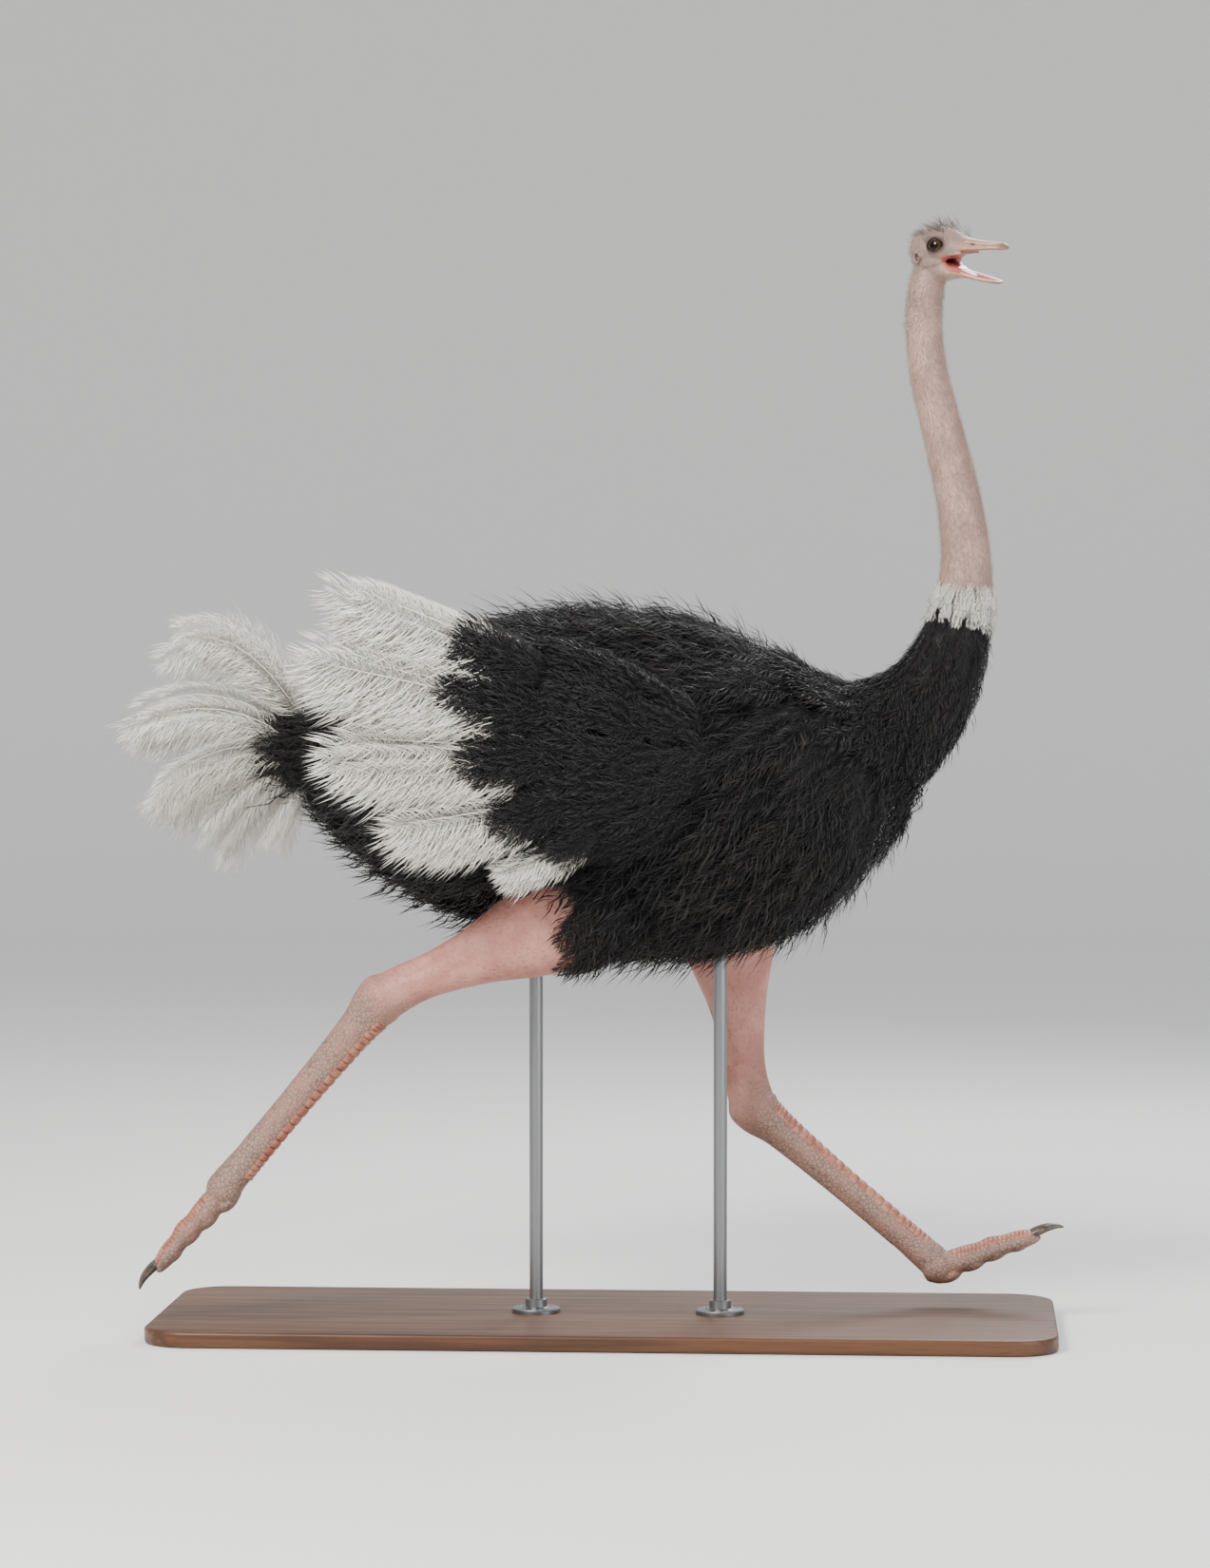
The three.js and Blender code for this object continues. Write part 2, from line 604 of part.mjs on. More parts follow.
piece("stand_base", basePlate(), wood, bird);
let trunkSolid = trunk.solid;
for (const [where, x] of [["front", ROD.front], ["rear", ROD.rear]]) {
  const bar = shaped((grow) => rod(x, grow));
  piece("stand_rod_" + where, bar.solid, steel, bird);
  piece("stand_flange_" + where, cutBy(flange(x), bar), steel, bird);
  trunkSolid = cutBy(trunkSolid, bar);
}
piece("trunk", trunkSolid, blackPlumage, bird);

export default bird;
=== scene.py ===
# %% [markdown]
# # A cock ostrich at a run, life size
# The solid model of the bird and its stand is loaded first, as a fixed frame in metres. It says where
# everything is. What follows grows a skin inside it, roots the feathers on that skin, and finishes
# the bill, the eyes, the scutes, the claws and the stand.

import bmesh
import bpy
import numpy as np
from mathutils import Matrix, Vector


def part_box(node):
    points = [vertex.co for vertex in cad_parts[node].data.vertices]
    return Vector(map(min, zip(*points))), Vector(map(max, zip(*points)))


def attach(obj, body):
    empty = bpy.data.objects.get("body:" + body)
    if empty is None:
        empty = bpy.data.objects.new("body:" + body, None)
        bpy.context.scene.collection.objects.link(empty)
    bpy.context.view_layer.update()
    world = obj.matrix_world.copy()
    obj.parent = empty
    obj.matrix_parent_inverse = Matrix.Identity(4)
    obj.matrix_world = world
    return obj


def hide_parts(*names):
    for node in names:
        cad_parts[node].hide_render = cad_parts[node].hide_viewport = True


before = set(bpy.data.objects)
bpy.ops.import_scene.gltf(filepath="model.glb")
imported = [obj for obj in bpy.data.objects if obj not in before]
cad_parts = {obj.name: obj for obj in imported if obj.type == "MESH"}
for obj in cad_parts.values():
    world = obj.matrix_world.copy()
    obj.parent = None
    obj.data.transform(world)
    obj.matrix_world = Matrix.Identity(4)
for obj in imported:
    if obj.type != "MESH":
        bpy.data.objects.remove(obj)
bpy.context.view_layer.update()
RNG = np.random.default_rng(11)
SIDES = {"right": -1, "left": 1}

# %% [markdown]
# ## Writing materials as sums
# A shader is a web of small nodes, and sums are hard to read in a web. This small class wraps a
# socket, so that an ordinary Python expression adds the Math nodes itself. A `Finish` is one
# material: it has one method that makes any node, and one that mixes two colours.


# %% Sockets that can be added up
class Flow:
    """What comes out of a socket. Sums on it add Math nodes to the same material."""

    def __init__(self, finish, socket):
        self.finish = finish
        self.socket = socket

    def math(self, operation, *values):
        return self.finish.node("ShaderNodeMath", {"operation": operation}, dict(enumerate(values)))

    def __add__(self, other):
        return self.math("ADD", self, other)

    def __sub__(self, other):
        return self.math("SUBTRACT", self, other)

    def __rsub__(self, other):
        return self.math("SUBTRACT", other, self)

    def __mul__(self, other):
        return self.math("MULTIPLY", self, other)

    __radd__ = __add__
    __rmul__ = __mul__

    def sine(self):
        return self.math("SINE", self)


class Finish:
    """A material with one Principled shader."""

    def __init__(self, name, **constants):
        self.material = bpy.data.materials.new(name)
        self.material.use_nodes = True
        self.tree = self.material.node_tree
        self.shader = self.tree.nodes["Principled BSDF"]
        for socket, value in constants.items():
            self.shader.inputs[socket.replace("_", " ")].default_value = value

    def node(self, kind, settings=None, values=None, output=0):
        made = self.tree.nodes.new(kind)
        for key, value in (settings or {}).items():
            setattr(made, key, value)
        for key, value in (values or {}).items():
            self.feed(made.inputs[key], value)
        return Flow(self, made.outputs[output])

    def feed(self, socket, value):
        if isinstance(value, Flow):
            self.tree.links.new(value.socket, socket)
        elif socket.type == "RGBA":
            socket.default_value = (*value, 1)
        else:
            socket.default_value = value

    def mix(self, share, first, second):
        """A colour that goes from the first to the second as share goes from 0 to 1."""
        return self.node("ShaderNodeMix", {"data_type": "RGBA"}, {0: share, 6: first, 7: second}, 2)

    def step(self, value, low, high):
        """0 below low, 1 above high, and smooth between them."""
        settings = {"interpolation_type": "SMOOTHSTEP"}
        return self.node("ShaderNodeMapRange", settings, {"Value": value, "From Min": low, "From Max": high})

    def place(self):
        """Where a point of the piece lies, in metres."""
        return self.node("ShaderNodeTexCoord", output="Object")

    def stretched(self, vector, scale):
        return self.node("ShaderNodeVectorMath", {"operation": "MULTIPLY"}, {0: vector, 1: scale})

    def noise(self, vector, scale, detail=3.0, roughness=0.5):
        values = {"Vector": vector, "Scale": scale, "Detail": detail, "Roughness": roughness}
        return self.node("ShaderNodeTexNoise", None, values)

    def cells(self, vector, scale, feature="F1"):
        return self.node("ShaderNodeTexVoronoi", {"feature": feature}, {"Vector": vector, "Scale": scale})

    def own(self, name):
        """A number that the mesh carries on its points."""
        return self.node("ShaderNodeAttribute", {"attribute_name": name}, None, "Fac")

    def bump(self, height, strength, distance):
        values = {"Height": height, "Strength": strength, "Distance": distance}
        return self.node("ShaderNodeBump", None, values)

    def set(self, **links):
        for socket, value in links.items():
            self.feed(self.shader.inputs[socket.replace("_", " ")], value)
        return self


# %% [markdown]
# ## A limb as a map
# Nearly everything on a bird is a tube whose girth changes: the trunk, the neck, a shin, a toe. A
# `Limb` keeps such a tube as a path with half sizes, and answers one question: which point lies at
# this turn round it and this share along it? A mesh is then a flat grid rolled up by that answer, a
# feather's root is one more question, and the pair (turn, share) is already an unwrap of the skin.

# %% Curves through a few rows


def smooth(rows, share):
    """The smooth curve through the rows (Catmull-Rom), at a share from 0 to 1 along them."""
    rows = np.asarray(rows, float)
    padded = np.vstack([2 * rows[0] - rows[1], rows, 2 * rows[-1] - rows[-2]])
    place = np.clip(share, 0, 1) * (len(rows) - 1)
    first = np.minimum(place.astype(int), len(rows) - 2)
    f = (place - first)[..., None]
    a, b, c, d = (padded[first + k] for k in range(4))
    return 0.5 * (2 * b + (c - a) * f + (2 * a - 5 * b + 4 * c - d) * f**2 + (3 * b - a - 3 * c + d) * f**3)


def unit(vectors):
    return vectors / np.maximum(np.linalg.norm(vectors, axis=-1, keepdims=True), 1e-9)


def turn_gap(turn, other):
    """How far apart two turns are, the short way round, in radians."""
    return np.abs((turn - other + np.pi) % (2 * np.pi) - np.pi)


# %% The limb itself
ACROSS = np.array((0.0, 1.0, 0.0))
RINGS_MEASURED = 400


class Limb:
    """A tube along stations of (x, y, z, half width, half height above, half height below).

    The last number is left out where it repeats the one before it. ends are the shares over which
    the tube's two ends are rounded off. A swell is (share, spread, turn, arc, height), a soft bump
    at a share and a turn, with its turn and arc in degrees. A turn of 0 is the bird's left, and 90 is
    the top of a limb that runs forwards.
    """

    def __init__(self, stations, ends=(0, 0), swells=()):
        self.rows = np.array([tuple(s) + (s[-1],) * (6 - len(s)) for s in stations], float)
        self.ends = ends
        self.swells = swells
        self.shares = np.linspace(0, 1, RINGS_MEASURED)
        clock = np.radians(np.arange(0, 360, 30))[:, None]
        rims = self.at(clock, self.shares[None])
        steps = np.linalg.norm(np.diff(rims, axis=1), axis=2).mean(axis=0)
        self.reach = np.concatenate([[0], np.cumsum(steps)])
        self.span = self.reach[-1]
        self.girth = np.linalg.norm(rims - np.roll(rims, 1, axis=0), axis=2).sum(axis=0)

    def axes(self, share):
        step = 1e-3
        ahead = smooth(self.rows, np.minimum(share + step, 1))
        along = unit((ahead - smooth(self.rows, np.maximum(share - step, 0)))[..., :3])
        side = unit(ACROSS - along * (along @ ACROSS)[..., None])
        return along, side, np.cross(along, side)

    def cap(self, share):
        """Rounds the girth off to nothing over a short share at an end."""
        girth = np.ones_like(share)
        for edge, gap in ((self.ends[0], share), (self.ends[1], 1 - share)):
            if edge:
                girth = girth * np.sqrt(np.clip(1 - (np.clip(edge - gap, 0, edge) / edge) ** 2, 0, 1))
        return girth

    def swell(self, turn, share):
        """How far the swells lift the surface there."""
        lift = 0
        for place, spread, middle, arc, height in self.swells:
            along = ((share - place) / spread) ** 2
            round_it = (turn_gap(turn, np.radians(middle)) / np.radians(arc)) ** 2
            lift = lift + height * np.exp(-along - round_it)
        return lift

    def at(self, turn, share, depth=0.0):
        """The point at a turn and a share, so deep under the surface."""
        turn, share = np.broadcast_arrays(np.asarray(turn, float), np.asarray(share, float))
        row = smooth(self.rows, share)
        _, side, up = self.axes(share)
        swell = self.swell(turn, share)
        cap = self.cap(share)
        wide = (row[..., 3] - depth + swell) * cap
        tall = (np.where(np.sin(turn) > 0, row[..., 4], row[..., 5]) - depth + swell) * cap
        out = side * (wide * np.cos(turn))[..., None] + up * (tall * np.sin(turn))[..., None]
        return row[..., :3] + out

    def normal(self, turn, share):
        step = 2e-3
        round_it = self.at(turn + step, share) - self.at(turn - step, share)
        along_it = self.at(turn, np.minimum(share + step, 1)) - self.at(turn, np.maximum(share - step, 0))
        out = unit(np.cross(round_it, along_it))
        centre = smooth(self.rows, share)[..., :3]
        facing = np.sign(np.sum(out * (self.at(turn, share) - centre), axis=-1, keepdims=True))
        return out * np.where(facing == 0, 1, facing)

    def share_at(self, distance):
        """The share along the limb at a distance in metres walked over its surface."""
        return np.interp(distance, self.reach, self.shares)


# %% Meshes from grids and balls


def rolled(bm, place, sides, rings, low=0.0, high=1.0):
    """A grid rolled into a closed tube: its width becomes the turn, its height the share."""
    grid = bmesh.ops.create_grid(bm, x_segments=sides, y_segments=rings, size=0.5)["verts"]
    flat = np.array([v.co for v in grid])
    share = low + (flat[:, 1] + 0.5) * (high - low)
    for vert, point in zip(grid, place((flat[:, 0] + 0.5) * 2 * np.pi, share)):
        vert.co = point
    bmesh.ops.remove_doubles(bm, verts=grid, dist=2e-6)
    own = [v for v in grid if v.is_valid]
    edges = dict.fromkeys(e for v in own for e in v.link_edges)
    bmesh.ops.holes_fill(bm, edges=[e for e in edges if e.is_boundary])
    return own


def ball(bm, centre, half, detail=20, turned=None):
    """A squashed ball with half sizes along X, Y and Z, turned if it is told how."""
    shape = Matrix.Translation(centre) @ (turned or Matrix()) @ Matrix.Diagonal((*half, 1))
    return bmesh.ops.create_uvsphere(
        bm, u_segments=detail, v_segments=max(6, detail * 2 // 3), radius=1, matrix=shape
    )["verts"]


def rounded(bm, edges, radius, segments):
    bmesh.ops.bevel(
        bm, geom=edges, offset=radius, segments=segments, profile=0.5, affect="EDGES", material=-1
    )


def to_object(bm, name, shade=True):
    """Turns a bmesh into an object at the origin, faces outwards."""
    bmesh.ops.recalc_face_normals(bm, faces=bm.faces)
    for face in bm.faces:
        face.smooth = shade
    mesh = bpy.data.meshes.new(name)
    bm.to_mesh(mesh)
    bm.free()
    made = bpy.data.objects.new(name, mesh)
    bpy.context.scene.collection.objects.link(made)
    return made


# %% [markdown]
# ## Melting and joining
# Flesh has no seams, so its pieces have to become one. A voxel remesh melts shells that overlap and
# rounds the creases between them, which suits the head and the feet, but it makes thousands of small
# faces. A boolean keeps both surfaces as they are, which suits long tubes and clean cuts.

# %% Modifiers, applied at once


def apply_modifiers(obj):
    """Replaces an object's mesh by what its modifiers make of it."""
    shape = obj.evaluated_get(bpy.context.evaluated_depsgraph_get())
    mesh = bpy.data.meshes.new_from_object(shape)
    obj.modifiers.clear()
    old, obj.data = obj.data, mesh
    bpy.data.meshes.remove(old)
    return obj


def remeshed(obj, voxel, rounds):
    """Melts the shells of an object into one closed skin, and smooths it."""
    melt = obj.modifiers.new("melt", "REMESH")
    melt.mode = "VOXEL"
    melt.voxel_size = voxel
    ease = obj.modifiers.new("ease", "SMOOTH")
    ease.factor = 0.5
    ease.iterations = rounds
    return apply_modifiers(obj)


def joined(obj, other, operation="UNION"):
    """Joins or cuts two closed objects, and drops the second."""
    join = obj.modifiers.new("join", "BOOLEAN")
    join.operation = operation
    join.object = other
    join.solver = "MANIFOLD"
    apply_modifiers(obj)
    bpy.data.objects.remove(other)
    return obj


# %% [markdown]
# ## The body's plan
# These are the bird's stations in metres. The trunk and the neck's foot are the coat's outer shape,
# because the solids are, so their skin lies deeper by the coat's depth. A leg is one path from the
# hip to the toes: the drumstick swells, the shank thins, the hock is a knob, and the tarsus is lean.

# %% Trunk and neck
COAT = 0.062
TRUNK = Limb(
    [
        (-0.588, 0, 1.092, 0.040, 0.036, 0.036),
        (-0.524, 0, 1.092, 0.128, 0.112, 0.128),
        (-0.420, 0, 1.084, 0.196, 0.204, 0.208),
        (-0.260, 0, 1.064, 0.256, 0.284, 0.276),
        (-0.060, 0, 1.045, 0.290, 0.336, 0.330),
        (0.140, 0, 1.040, 0.294, 0.326, 0.340),
        (0.310, 0, 1.045, 0.266, 0.262, 0.305),
        (0.440, 0, 1.055, 0.212, 0.172, 0.232),
        (0.520, 0, 1.062, 0.142, 0.100, 0.148),
        (0.567, 0, 1.065, 0.060, 0.045, 0.066),
    ],
    ends=(0.05, 0.05),
)
WINDPIPE = (0.72, 0.30, 270, 26, 0.0022)
GULLET = (0.70, 0.26, 205, 30, 0.0014)
NECK = Limb(
    [
        (0.400, 0, 1.085, 0.128, 0.150),
        (0.505, 0, 1.118, 0.104, 0.122),
        (0.597, 0, 1.190, 0.078, 0.090),
        (0.654, 0, 1.300, 0.058, 0.066),
        (0.676, 0, 1.430, 0.046, 0.051),
        (0.664, 0, 1.560, 0.041, 0.044),
        (0.634, 0, 1.690, 0.038, 0.040),
        (0.604, 0, 1.815, 0.036, 0.037),
        (0.596, 0.002, 1.922, 0.0345, 0.035),
        (0.609, 0.002, 2.002, 0.032, 0.033),
    ],
    swells=(WINDPIPE, GULLET),
)
NECK_DOWN = 0.003
print(f"trunk {TRUNK.span:.2f} m over its back, neck {NECK.span:.2f} m")

# %% The stride: lengths in metres, bearings in degrees
HIP = (-0.060, 0.120, 1.080)
TIBIA = 0.520
TARSUS = 0.470
LEG_POSES = {
    "left": {"knee": (0.196, 0.172, 0.925), "drift": 0.018, "tibia": -82, "tarsus": -40, "toes": 24},
    "right": {"knee": (0.066, 0.182, 0.852), "drift": 0.012, "tibia": -156, "tarsus": -130, "toes": -136},
}


def mirrored(point, side):
    """A point of the left side, carried to the side that is named."""
    return np.array(point) * (1, SIDES[side], 1)


def bearing(degrees):
    """A direction in the bird's side view: 0 is forwards, and 90 is up."""
    return np.array([np.cos(np.radians(degrees)), 0, np.sin(np.radians(degrees))])


def leg_joints(side):
    """The leg's joints. Below the knee it drifts a little inwards, under the body."""
    pose = LEG_POSES[side]
    drift = mirrored((0, -pose["drift"], 0), side)
    knee = mirrored(pose["knee"], side)
    hock = knee + TIBIA * bearing(pose["tibia"]) + drift
    foot = hock + TARSUS * bearing(pose["tarsus"]) + drift
    return {"hip": mirrored(HIP, side), "knee": knee, "hock": hock, "foot": foot}


LEG_JOINTS = {side: leg_joints(side) for side in SIDES}
for side, at in LEG_JOINTS.items():
    print(f"{side} foot:", [round(float(v), 3) for v in at["foot"]])

# %% Shins and thighs
SHIN_PLAN = [
    ("knee", "hock", 0.00, 0.084, 0.096),
    ("knee", "hock", 0.20, 0.092, 0.108),
    ("knee", "hock", 0.42, 0.072, 0.086),
    ("knee", "hock", 0.62, 0.046, 0.056),
    ("knee", "hock", 0.82, 0.032, 0.038),
    ("knee", "hock", 0.95, 0.037, 0.042),
    ("hock", "foot", 0.03, 0.040, 0.046),
    ("hock", "foot", 0.16, 0.029, 0.034),
    ("hock", "foot", 0.45, 0.024, 0.028),
    ("hock", "foot", 0.78, 0.026, 0.028),
    ("hock", "foot", 0.97, 0.034, 0.031),
]
TENDONS = [
    (0.42, 0.07, 270, 22, 0.006),
    (0.40, 0.06, 315, 18, -0.004),
    (0.40, 0.06, 225, 18, -0.004),
    (0.55, 0.035, 0, 34, 0.0045),
    (0.55, 0.035, 180, 34, 0.0045),
    (0.565, 0.03, 262, 26, 0.004),
    (0.60, 0.03, 300, 20, -0.003),
    (0.78, 0.13, 90, 24, 0.0016),
    (0.78, 0.13, 270, 26, 0.0022),
    (0.78, 0.13, 215, 16, -0.0016),
    (0.78, 0.13, 325, 16, -0.0016),
]


def shin_of(side):
    at = LEG_JOINTS[side]
    rows = [(*(at[a] + (at[b] - at[a]) * share), wide, tall) for a, b, share, wide, tall in SHIN_PLAN]
    return Limb(rows, swells=TENDONS, ends=(0.06, 0))


def thigh_of(side):
    at = LEG_JOINTS[side]
    middle = (at["hip"] + at["knee"]) / 2
    stations = [(*at["hip"], 0.100, 0.138), (*middle, 0.106, 0.142), (*at["knee"], 0.088, 0.104)]
    return Limb(stations, ends=(0.3, 0.3))


SHINS = {side: shin_of(side) for side in SIDES}
THIGHS = {side: thigh_of(side) for side in SIDES}
for side, shin in SHINS.items():
    print(f"{side} leg: {shin.span:.2f} m from knee to toes")

# %% Foot, wing and head frames


def foot_frame(side):
    """X runs along the big toe, Z out of the foot's back, and the origin is in the knuckle."""
    aim = bearing(LEG_POSES[side]["toes"])
    back = np.array([-aim[2], 0, aim[0]]) * (1 if aim[0] > 0 else -1)
    columns = Matrix([aim, np.cross(back, aim), back]).transposed().to_4x4()
    return Matrix.Translation(LEG_JOINTS[side]["foot"]) @ columns


def tilt(axis, degrees):
    return Matrix.Rotation(np.radians(degrees), 4, axis)


HEAD = Matrix.Translation((0.630, -0.014, 2.038)) @ tilt("Z", -40) @ tilt("Y", -3) @ tilt("X", 6)
JAW = HEAD @ Matrix.Translation((-0.018, 0, -0.020)) @ tilt("Y", 21)
EYE = np.array([0.015, 0.025, 0.008])
EYE_RADIUS = 0.0225


def turned_by(matrix, directions):
    """Directions in rows, turned by a matrix."""
    return directions @ np.array(matrix)[:3, :3].T


def moved_by(matrix, points):
    """Points in rows, turned and moved by a matrix."""
    return turned_by(matrix, points) + np.array(matrix)[:3, 3]


def moved(place, matrix):
    """A limb's map, carried into the bird by a frame."""
    return lambda *where: moved_by(matrix, place(*where))


# %% [markdown]
# ## The head
# A museum ostrich is judged by its face, so the head is built in clay steps: shells for the skull,
# the throat, the bulging eye sockets, the brows and the ears are melted into one by a voxel remesh,
# which rounds every join as flesh does. The mouth, the eyeballs and the slits between the lids are
# then cut out cleanly, so the lids are thin real flaps that wrap the eye.

# %% The head's clay
SKULL = Limb(
    [
        (-0.066, 0, 0.002, 0.018, 0.018, 0.020),
        (-0.046, 0, 0.003, 0.0345, 0.033, 0.036),
        (-0.024, 0, 0.003, 0.0405, 0.0395, 0.040),
        (0.002, 0, 0.002, 0.0395, 0.0410, 0.037),
        (0.026, 0, 0.000, 0.0360, 0.0360, 0.031),
        (0.046, 0, -0.002, 0.0325, 0.0270, 0.023),
        (0.066, 0, -0.003, 0.0300, 0.0180, 0.011),
    ],
    ends=(0.16, 0),
)
THROAT = Limb(
    [
        (-0.046, 0, -0.012, 0.028, 0.030),
        (-0.012, 0, -0.026, 0.0335, 0.029),
        (0.018, 0, -0.038, 0.0320, 0.020),
        (0.044, 0, -0.049, 0.0250, 0.009),
        (0.056, 0, -0.0545, 0.012, 0.004),
    ],
    ends=(0.2, 0.2),
)
NAPE = Limb(
    [
        (*(HEAD.inverted() @ Vector((0.5960, 0.002, 1.905))), 0.0265, 0.0270),
        (*(HEAD.inverted() @ Vector((0.5985, 0.002, 1.950))), 0.0317, 0.0325),
        (*(HEAD.inverted() @ Vector((0.6060, 0.001, 1.990))), 0.0308, 0.0325),
        (*(HEAD.inverted() @ Vector((0.6200, 0.000, 2.032))), 0.0270, 0.0280),
    ],
    ends=(0.0, 0.3),
)


# Lumps on both sides of the head: centre, half sizes, fineness, and degrees tipped forwards.
HEAD_LUMPS = [
    ((0.013, 0.0290, 0.008), (0.029, 0.0150, 0.0265), 32, 0),  # the socket's bulge
    (EYE, (0.0243,) * 3, 40, 0),  # the lids
    ((0.011, 0.0300, 0.0255), (0.021, 0.0105, 0.0060), 24, 6),  # the brow
    ((-0.008, 0.0270, -0.020), (0.030, 0.0120, 0.0120), 24, 0),  # the cheek
    ((0.046, 0.0262, -0.010), (0.022, 0.0055, 0.0048), 20, 6),  # the gape's upper edge
    ((0.020, 0.0280, -0.0385), (0.020, 0.0045, 0.0050), 20, 24),  # the gape's lower edge
]
EAR_X = -0.030
EAR_Z = -0.0075
EAR_LUMPS = 14


def head_clay():
    bm = bmesh.new()
    rolled(bm, SKULL.at, 48, 40)
    rolled(bm, THROAT.at, 40, 30)
    rolled(bm, NAPE.at, 40, 30)
    ball(bm, (-0.041, 0, -0.034), (0.0215, 0.0260, 0.0260), 28)
    for side in SIDES:
        for centre, half, fineness, tipped in HEAD_LUMPS:
            ball(bm, mirrored(centre, side), half, fineness, tilt("Y", tipped))
        for lump in range(EAR_LUMPS):
            angle = 2 * np.pi * lump / EAR_LUMPS
            rim = (EAR_X + 0.0070 * np.cos(angle), 0.0385, EAR_Z + 0.0095 * np.sin(angle))
            ball(bm, mirrored(rim, side), (0.0030,) * 3, 10)
    return to_object(bm, "skin")


# %% Mouth and throat are cut into it
# The gape's edges in the head's side view, as (x, z) from the corner of the mouth forwards.
GAPE_ROOF = ((0.0190, -0.0210), (0.0240, -0.0150), (0.0300, -0.0125), (0.1000, -0.0140))
GAPE_FLOOR = ((0.0190, -0.0210), (0.0285, -0.0330), (0.1000, -0.0611))
THROAT_HOLLOW = ((0.016, 0, -0.0235), (0.027, 0.0165, 0.0078))
HOLLOW_TILT = 16


def mouth_cut():
    """A wedge that opens forwards from the corner of the gape."""
    bm = bmesh.new()
    corners = GAPE_ROOF + GAPE_FLOOR[:0:-1]
    face = bm.faces.new([bm.verts.new((x, -0.05, z)) for x, z in corners])
    made = bmesh.ops.extrude_face_region(bm, geom=[face])["geom"]
    bmesh.ops.translate(bm, verts=[v for v in made if isinstance(v, bmesh.types.BMVert)], vec=(0, 0.1, 0))
    rounded(bm, bm.edges, 0.0022, 3)
    return to_object(bm, "mouth_cut")


def gullet_cut():
    """The hollow that runs back from the mouth into the throat."""
    bm = bmesh.new()
    centre, half = THROAT_HOLLOW
    ball(bm, centre, half, 40, tilt("Y", HOLLOW_TILT))
    return to_object(bm, "gullet_cut")


# %% Lids and ears are cut into it
GAZE = (0.20, 0.97, 0.07)
SLIT_HALF = 0.0172
SLIT_RISE = 0.0006
# How far each lid opens, and how much less at the slit's corners.
UPPER_LID = (0.0132, 0.30)
LOWER_LID = (0.0122, 0.25)


def eye_frame(side):
    """The eye's centre, with +Z turned to where it looks, and +Y left upwards along the head."""
    look = Vector(mirrored(GAZE, side)).normalized()
    right = Vector((0, 0, 1)).cross(look).normalized()
    turned = Matrix([right, look.cross(right), look]).transposed().to_4x4()
    return Matrix.Translation(mirrored(EYE, side)) @ turned


def eye_cut(side):
    """The eyeball's hollow, and the almond slit between the lids, wider outside than inside."""
    bm = bmesh.new()
    ball(bm, mirrored(EYE, side), (EYE_RADIUS + 0.0002,) * 3, 48)
    hollow = to_object(bm, "eye_hollow")
    bm = bmesh.new()
    slit = bmesh.ops.create_circle(bm, segments=40, radius=1, cap_ends=True)["verts"]
    for vert in slit:
        opening, closing = UPPER_LID if vert.co.y > 0 else LOWER_LID
        vert.co.y *= opening * (1 - closing * abs(vert.co.x) ** 1.6)
        vert.co.x *= SLIT_HALF
        vert.co.y += SLIT_RISE
    raised = bmesh.ops.extrude_face_region(bm, geom=bm.faces[:])["geom"]
    for vert in raised:
        if isinstance(vert, bmesh.types.BMVert):
            vert.co = (vert.co.x * 1.12, vert.co.y * 1.12, 0.034)
    bmesh.ops.translate(bm, verts=slit, vec=(0, 0, 0.006))
    bmesh.ops.transform(bm, verts=bm.verts, matrix=eye_frame(side))
    return joined(hollow, to_object(bm, "eye_slit"))


def put_in_order(items, place):
    """Numbers points or faces by where they lie."""
    for number, item in enumerate(sorted(items, key=lambda i: [round(c, 6) for c in place(i)])):
        item.index = number
    items.sort()


def ear_cut(side):
    """The ear's opening. Its hairs are drawn face by face, and a new ball's order is not always the
    same, so its points and faces are put in order."""
    bm = bmesh.new()
    ball(bm, mirrored((EAR_X, 0.0420, EAR_Z), side), (0.0050, 0.0110, 0.0072), 24)
    put_in_order(bm.verts, lambda vert: vert.co)
    put_in_order(bm.faces, lambda face: face.calc_center_median())
    return to_object(bm, "ear_hole")


head = remeshed(head_clay(), 0.00135, 5)
cuts = [mouth_cut(), gullet_cut()]
for side in SIDES:
    cuts += [eye_cut(side), ear_cut(side)]
for cut in cuts:
    joined(head, cut, "DIFFERENCE")
head.data.transform(HEAD)
print("head:", len(head.data.polygons), "faces")

# %% [markdown]
# ## The feet
# An ostrich has two toes on each foot: a big one with a thick nail, and a small outer one. Their
# joints bulge and their soles are pads, so each foot is melted from a knuckle, two toe tubes and
# a row of pads.

# %% Foot clay
KNUCKLE = Limb(
    [
        (-0.034, 0, 0.006, 0.027, 0.024),
        (-0.018, 0, 0.003, 0.033, 0.030),
        (0.002, 0, -0.002, 0.037, 0.033, 0.035),
        (0.036, 0, -0.009, 0.032, 0.026),
    ],
    ends=(0.2, 0.3),
)
BIG_TOE = Limb(
    [
        (0.010, 0, -0.006, 0.030, 0.026, 0.024),
        (0.040, 0, -0.009, 0.031, 0.025, 0.023),
        (0.062, 0, -0.011, 0.0335, 0.0245, 0.023),
        (0.084, 0, -0.012, 0.0295, 0.0215, 0.020),
        (0.108, 0, -0.013, 0.0305, 0.0230, 0.021),
        (0.132, 0, -0.016, 0.0270, 0.0190, 0.017),
        (0.156, 0, -0.019, 0.0285, 0.0195, 0.0175),
        (0.178, 0, -0.022, 0.0250, 0.0165, 0.0145),
        (0.199, 0, -0.026, 0.0150, 0.0105, 0.0085),
    ],
    ends=(0.05, 0.10),
)
